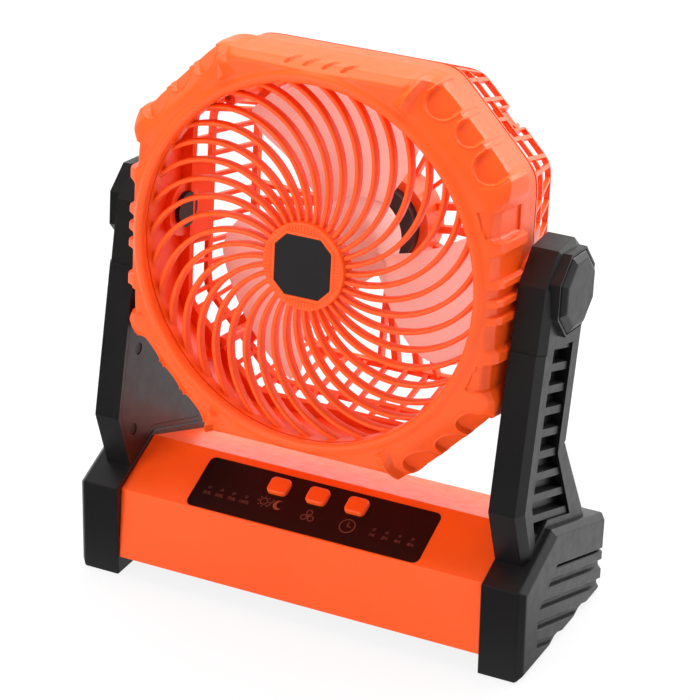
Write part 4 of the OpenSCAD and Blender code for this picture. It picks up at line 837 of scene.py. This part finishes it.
def add_band(builder, left, right, closed=False):
    """A thin flat band on the plate between two lines of points."""
    rows = [[(*a, PRINT_HIGH), (*b, PRINT_HIGH), (*b, PRINT_LOW), (*a, PRINT_LOW)] for a, b in zip(left, right)]
    if closed:
        builder.grid(rows, True, True)
    else:
        builder.solid(rows)


def add_line(builder, begin, end, width=PRINT_LINE):
    begin, end = Vector(begin), Vector(end)
    half = (end - begin).normalized().orthogonal() * width / 2
    add_band(builder, [tuple(begin + half), tuple(end + half)], [tuple(begin - half), tuple(end - half)])


def add_circle(builder, x, y, radius, width=PRINT_LINE):
    add_band(builder, [(x + a, y + b) for a, b in circle(radius + width / 2)],
             [(x + a, y + b) for a, b in circle(radius - width / 2)], True)


def add_label(builder, text, x, y):
    """A label in Blender's own font, as a thin solid."""
    curve = bpy.data.curves.new(text, "FONT")
    curve.body = text
    curve.size = LABEL_SIZE
    curve.align_x = "CENTER"
    curve.resolution_u = 2
    curve.extrude = (PRINT_HIGH - PRINT_LOW) / 2
    holder = bpy.data.objects.new(text, curve)
    mesh = bpy.data.meshes.new_from_object(holder)
    first = len(builder.points)
    middle = (PRINT_HIGH + PRINT_LOW) / 2
    builder.points.extend((v.co.x + x, v.co.y + y, v.co.z + middle) for v in mesh.vertices)
    builder.faces.extend(tuple(first + i for i in face.vertices) for face in mesh.polygons)
    bpy.data.objects.remove(holder)
    bpy.data.meshes.remove(mesh)
    bpy.data.curves.remove(curve)


def make_print():
    builder = Builder()
    for text, x in LABELS.items():
        add_label(builder, text, x, LABEL_Y)
    sun = Vector(SUN)
    add_circle(builder, sun.x, sun.y, SUN_R)
    for ray in circle(1.0, RAY_COUNT):
        add_line(builder, sun + RAY_START * Vector(ray), sun + RAY_END * Vector(ray))
    add_line(builder, *SLASH)
    fan = Vector(FAN_SIGN)
    add_circle(builder, fan.x, fan.y, FAN_EYE_R)
    for turn in PETAL_TURNS:
        petal = fan + PETAL_REACH * Vector((math.cos(math.radians(turn)), math.sin(math.radians(turn))))
        add_circle(builder, petal.x, petal.y, PETAL_R)
    clock = Vector(CLOCK)
    add_circle(builder, clock.x, clock.y, CLOCK_R)
    for hand in CLOCK_HANDS:
        add_line(builder, clock + Vector(CLOCK_MIDDLE), clock + Vector(hand))
    new_piece("panel_print", builder, PANEL, "print", "stand", smooth=False)
    moon = Builder()
    x, y = MOON
    turns = np.linspace(-MOON_HALF_TURN, MOON_HALF_TURN, MOON_STEPS + 1)
    outer = [(x - MOON_R * math.cos(turn), y - MOON_R * math.sin(turn)) for turn in turns]
    inner = [(x + BITE_X - BITE_HALF_W * math.cos(turn), y + BITE_Y - BITE_HALF_H * math.sin(turn)) for turn in turns]
    add_band(moon, outer, inner)
    new_piece("moon_print", moon, PANEL, "moon", "stand", smooth=False)


# CAD nodes that show as they are: softened edges and a finish each

WELD_DISTANCE, FLAT_ANGLE, EDGE_ANGLE, EDGE_SEGMENTS = 0.00002, math.radians(0.6), math.radians(28), 2
# Nodes whose rounding keeps its full width, also where edges lie close
ROUND_EDGES = ("foot_left", "foot_right")
FINISHES = {
    "orange": ["base_housing"],
    "black": ["foot_left", "foot_right", "arm_left", "arm_right", "arm_cover_left", "arm_cover_right",
              "pivot_cap_left", "pivot_cap_right", "base_bottom_cover", "friction_discs", "battery_tray",
              "button_switches"],
    "panel": ["control_plate"],
    "badge": ["hub_badge"],
    "steel": ["base_screws", "cage_screws", "motor_bearings", "motor_shaft", "charging_port"],
    "dark_steel": ["arm_screws", "pivot_shaft_left", "pivot_shaft_right", "pivot_washers", "pivot_nuts"],
    "motor": ["motor_housing", "motor_end_cap", "motor_rotor"],
    "rubber": ["foot_pads"],
    "board": ["circuit_board"],
    "cell": ["battery_cells"],
    "lens": ["lamp_lens", "lamp_board"],
    "light": ["indicator_lights"],
}
# Width of the rounding, in millimetres
SOFT_EDGES = {
    "base_housing": 1.1, "foot_left": 0.65, "foot_right": 0.65, "arm_left": 0.6, "arm_right": 0.6,
    "arm_cover_left": 0.3, "arm_cover_right": 0.3, "pivot_cap_left": 0.7, "pivot_cap_right": 0.7,
    "control_plate": 0.2, "hub_badge": 0.15,
}


def soften(node, width):
    """Rounds a node's moulded edges without touching its own mesh."""
    piece = frame["nodes"][node]
    weld = piece.modifiers.new("weld", "WELD")
    weld.merge_threshold = WELD_DISTANCE
    flat = piece.modifiers.new("flat", "DECIMATE")
    flat.decimate_type = "DISSOLVE"
    flat.angle_limit = FLAT_ANGLE
    edge = piece.modifiers.new("edge", "BEVEL")
    edge.limit_method = "ANGLE"
    edge.angle_limit = EDGE_ANGLE
    edge.width = width * MM
    edge.segments = EDGE_SEGMENTS
    edge.use_clamp_overlap = node not in ROUND_EDGES
    piece.modifiers.new("normals", "WEIGHTED_NORMAL").keep_sharp = True


def finish_nodes():
    for material, nodes in FINISHES.items():
        for node in nodes:
            slots = frame["nodes"][node].data.materials
            slots.clear()
            slots.append(MATERIALS[material])
    for node, width in SOFT_EDGES.items():
        soften(node, width)


# Floor, light and camera

# The floor is white as seen, with a share of its real shade, so that it keeps the object's shadow
AMBIENT, STUDIO_DIM, FLOOR_WHITE = 0.55, 0.1, 0.86
FLOOR_REACH, FLOOR_COLOUR = 6.0, (0.82, 0.82, 0.82, 1)
# Where reflections turn from dim to white: y on the floor in metres, and y of a direction
FLOOR_TURN, SKY_TURN = (-0.12, 0.03), (-0.05, 0.4)
# Place, target, size, power, and whether reflections show the lamp
LAMPS = {
    "key": ((-0.84, -1.43, 1.3), (0, 0, 0.15), (1.0, 0.8), 6, True),
    "top": ((-0.1, 0.6, 1.8), (0, 0, 0.15), (2.0, 1.6), 64, False),
    "fill": ((-1.0, -1.8, 0.3), (0, 0, 0.1), (1.2, 0.6), 17, False),
    "back": ((0.9, 1.3, 1.0), (0, 0, 0.2), (1.2, 1.0), 14, True),
}


def light_paths(nodes, camera_share=1.0):
    """The share of white for a ray, 0 for light that falls on the object; and 1 for glossy rays alone."""
    path = nodes.add("ShaderNodeLightPath")
    camera = nodes.add("ShaderNodeMath", operation="MULTIPLY")
    nodes.link(path.outputs["Is Camera Ray"], camera.inputs[0])
    camera.inputs[1].default_value = camera_share
    first = nodes.add("ShaderNodeMath", operation="MAXIMUM")
    second = nodes.add("ShaderNodeMath", operation="MAXIMUM")
    nodes.link(camera.outputs[0], first.inputs[0])
    nodes.link(path.outputs["Is Glossy Ray"], first.inputs[1])
    nodes.link(first.outputs[0], second.inputs[0])
    nodes.link(path.outputs["Is Transmission Ray"], second.inputs[1])
    return second.outputs[0], path.outputs["Is Glossy Ray"]


def reflected_level(nodes, mirrored, place, front, back):
    """White as seen directly; in reflections the studio is dim in front of the object and white behind it."""
    split = nodes.add("ShaderNodeSeparateXYZ")
    nodes.link(place, split.inputs["Vector"])
    level = nodes.add("ShaderNodeMix", data_type="FLOAT")
    nodes.link(mirrored, level.inputs["Factor"])
    level.inputs["A"].default_value = 1.0
    nodes.link(nodes.ramp(split.outputs["Y"], STUDIO_DIM, 1.0, front, back), level.inputs["B"])
    return level.outputs["Result"]


def make_floor():
    mesh = bpy.data.meshes.new("floor")
    mesh.from_pydata([(x * FLOOR_REACH, y * FLOOR_REACH, 0) for x, y in ((-1, -1), (1, -1), (1, 1), (-1, 1))], [],
                     [(0, 1, 2, 3)])
    floor = bpy.data.objects.new("floor", mesh)
    bpy.context.scene.collection.objects.link(floor)
    nodes = Nodes("floor_white")
    nodes.shader.inputs["Base Color"].default_value = FLOOR_COLOUR
    nodes.shader.inputs["Roughness"].default_value = 0.9
    glow = nodes.add("ShaderNodeEmission")
    seen, mirrored = light_paths(nodes, FLOOR_WHITE)
    ground = nodes.add("ShaderNodeNewGeometry").outputs["Position"]
    nodes.link(reflected_level(nodes, mirrored, ground, *FLOOR_TURN), glow.inputs["Strength"])
    nodes.link(seen, nodes.blend(nodes.shader.outputs["BSDF"], glow.outputs["Emission"]))
    mesh.materials.append(nodes.material)


class WorldNodes(Nodes):
    """The same short calls for the world's node tree."""

    def __init__(self):
        world = bpy.data.worlds.new("studio")
        bpy.context.scene.world = world
        world.use_nodes = True
        self.tree = world.node_tree
        self.shader = self.tree.nodes["Background"]
        self.output = self.tree.nodes["World Output"]


def make_world():
    nodes = WorldNodes()
    nodes.shader.inputs["Color"].default_value = (1, 1, 1, 1)
    nodes.shader.inputs["Strength"].default_value = AMBIENT
    white = nodes.add("ShaderNodeBackground")
    white.inputs["Color"].default_value = (1, 1, 1, 1)
    seen, mirrored = light_paths(nodes)
    direction = nodes.add("ShaderNodeTexCoord").outputs["Generated"]
    nodes.link(reflected_level(nodes, mirrored, direction, *SKY_TURN), white.inputs["Strength"])
    nodes.link(seen, nodes.blend(nodes.shader.outputs["Background"], white.outputs["Background"]))


def make_lamp(name, place, target, size, power, mirrored):
    lamp = bpy.data.lights.new(name, "AREA")
    lamp.shape = "RECTANGLE"
    lamp.size, lamp.size_y = size
    lamp.energy = power
    lamp_object = bpy.data.objects.new(name, lamp)
    lamp_object.location = place
    lamp_object.rotation_mode = "QUATERNION"
    lamp_object.rotation_quaternion = (Vector(target) - Vector(place)).to_track_quat("-Z", "Y")
    lamp_object.visible_glossy = mirrored
    bpy.context.scene.collection.objects.link(lamp_object)


CAMERA_AZIMUTH, CAMERA_ELEVATION, CAMERA_ROLL = (math.radians(a) for a in (27.98, 27.13, -0.70))
CAMERA_TARGET = Vector((0.00894, -0.0161, 0.13375))
CAMERA_DISTANCE = 1.4413
CAMERA_LENS, CAMERA_SENSOR = 151.15, 36.0


def make_camera():
    a, e, r = CAMERA_AZIMUTH, CAMERA_ELEVATION, CAMERA_ROLL
    back = Vector((math.sin(a) * math.cos(e), -math.cos(a) * math.cos(e), math.sin(e)))
    right = Vector((math.cos(a), math.sin(a), 0))
    up = back.cross(right)
    across = math.cos(r) * right + math.sin(r) * up
    upward = math.cos(r) * up - math.sin(r) * right
    camera = bpy.data.cameras.new("camera")
    camera.sensor_width = CAMERA_SENSOR
    camera.lens = CAMERA_LENS
    camera_object = bpy.data.objects.new("camera", camera)
    camera_object.matrix_world = Matrix.Translation(CAMERA_TARGET + CAMERA_DISTANCE * back) @ Matrix(
        (across, upward, back)).transposed().to_4x4()
    bpy.context.scene.collection.objects.link(camera_object)
    bpy.context.scene.camera = camera_object


make_camera()
finish_nodes()
make_bezel()
make_cage()
make_grille()
make_fan()
make_buttons()
make_print()
make_floor()
make_world()
for lamp_name, lamp_settings in LAMPS.items():
    make_lamp(lamp_name, *lamp_settings)
bpy.context.scene.view_settings.view_transform = "Standard"
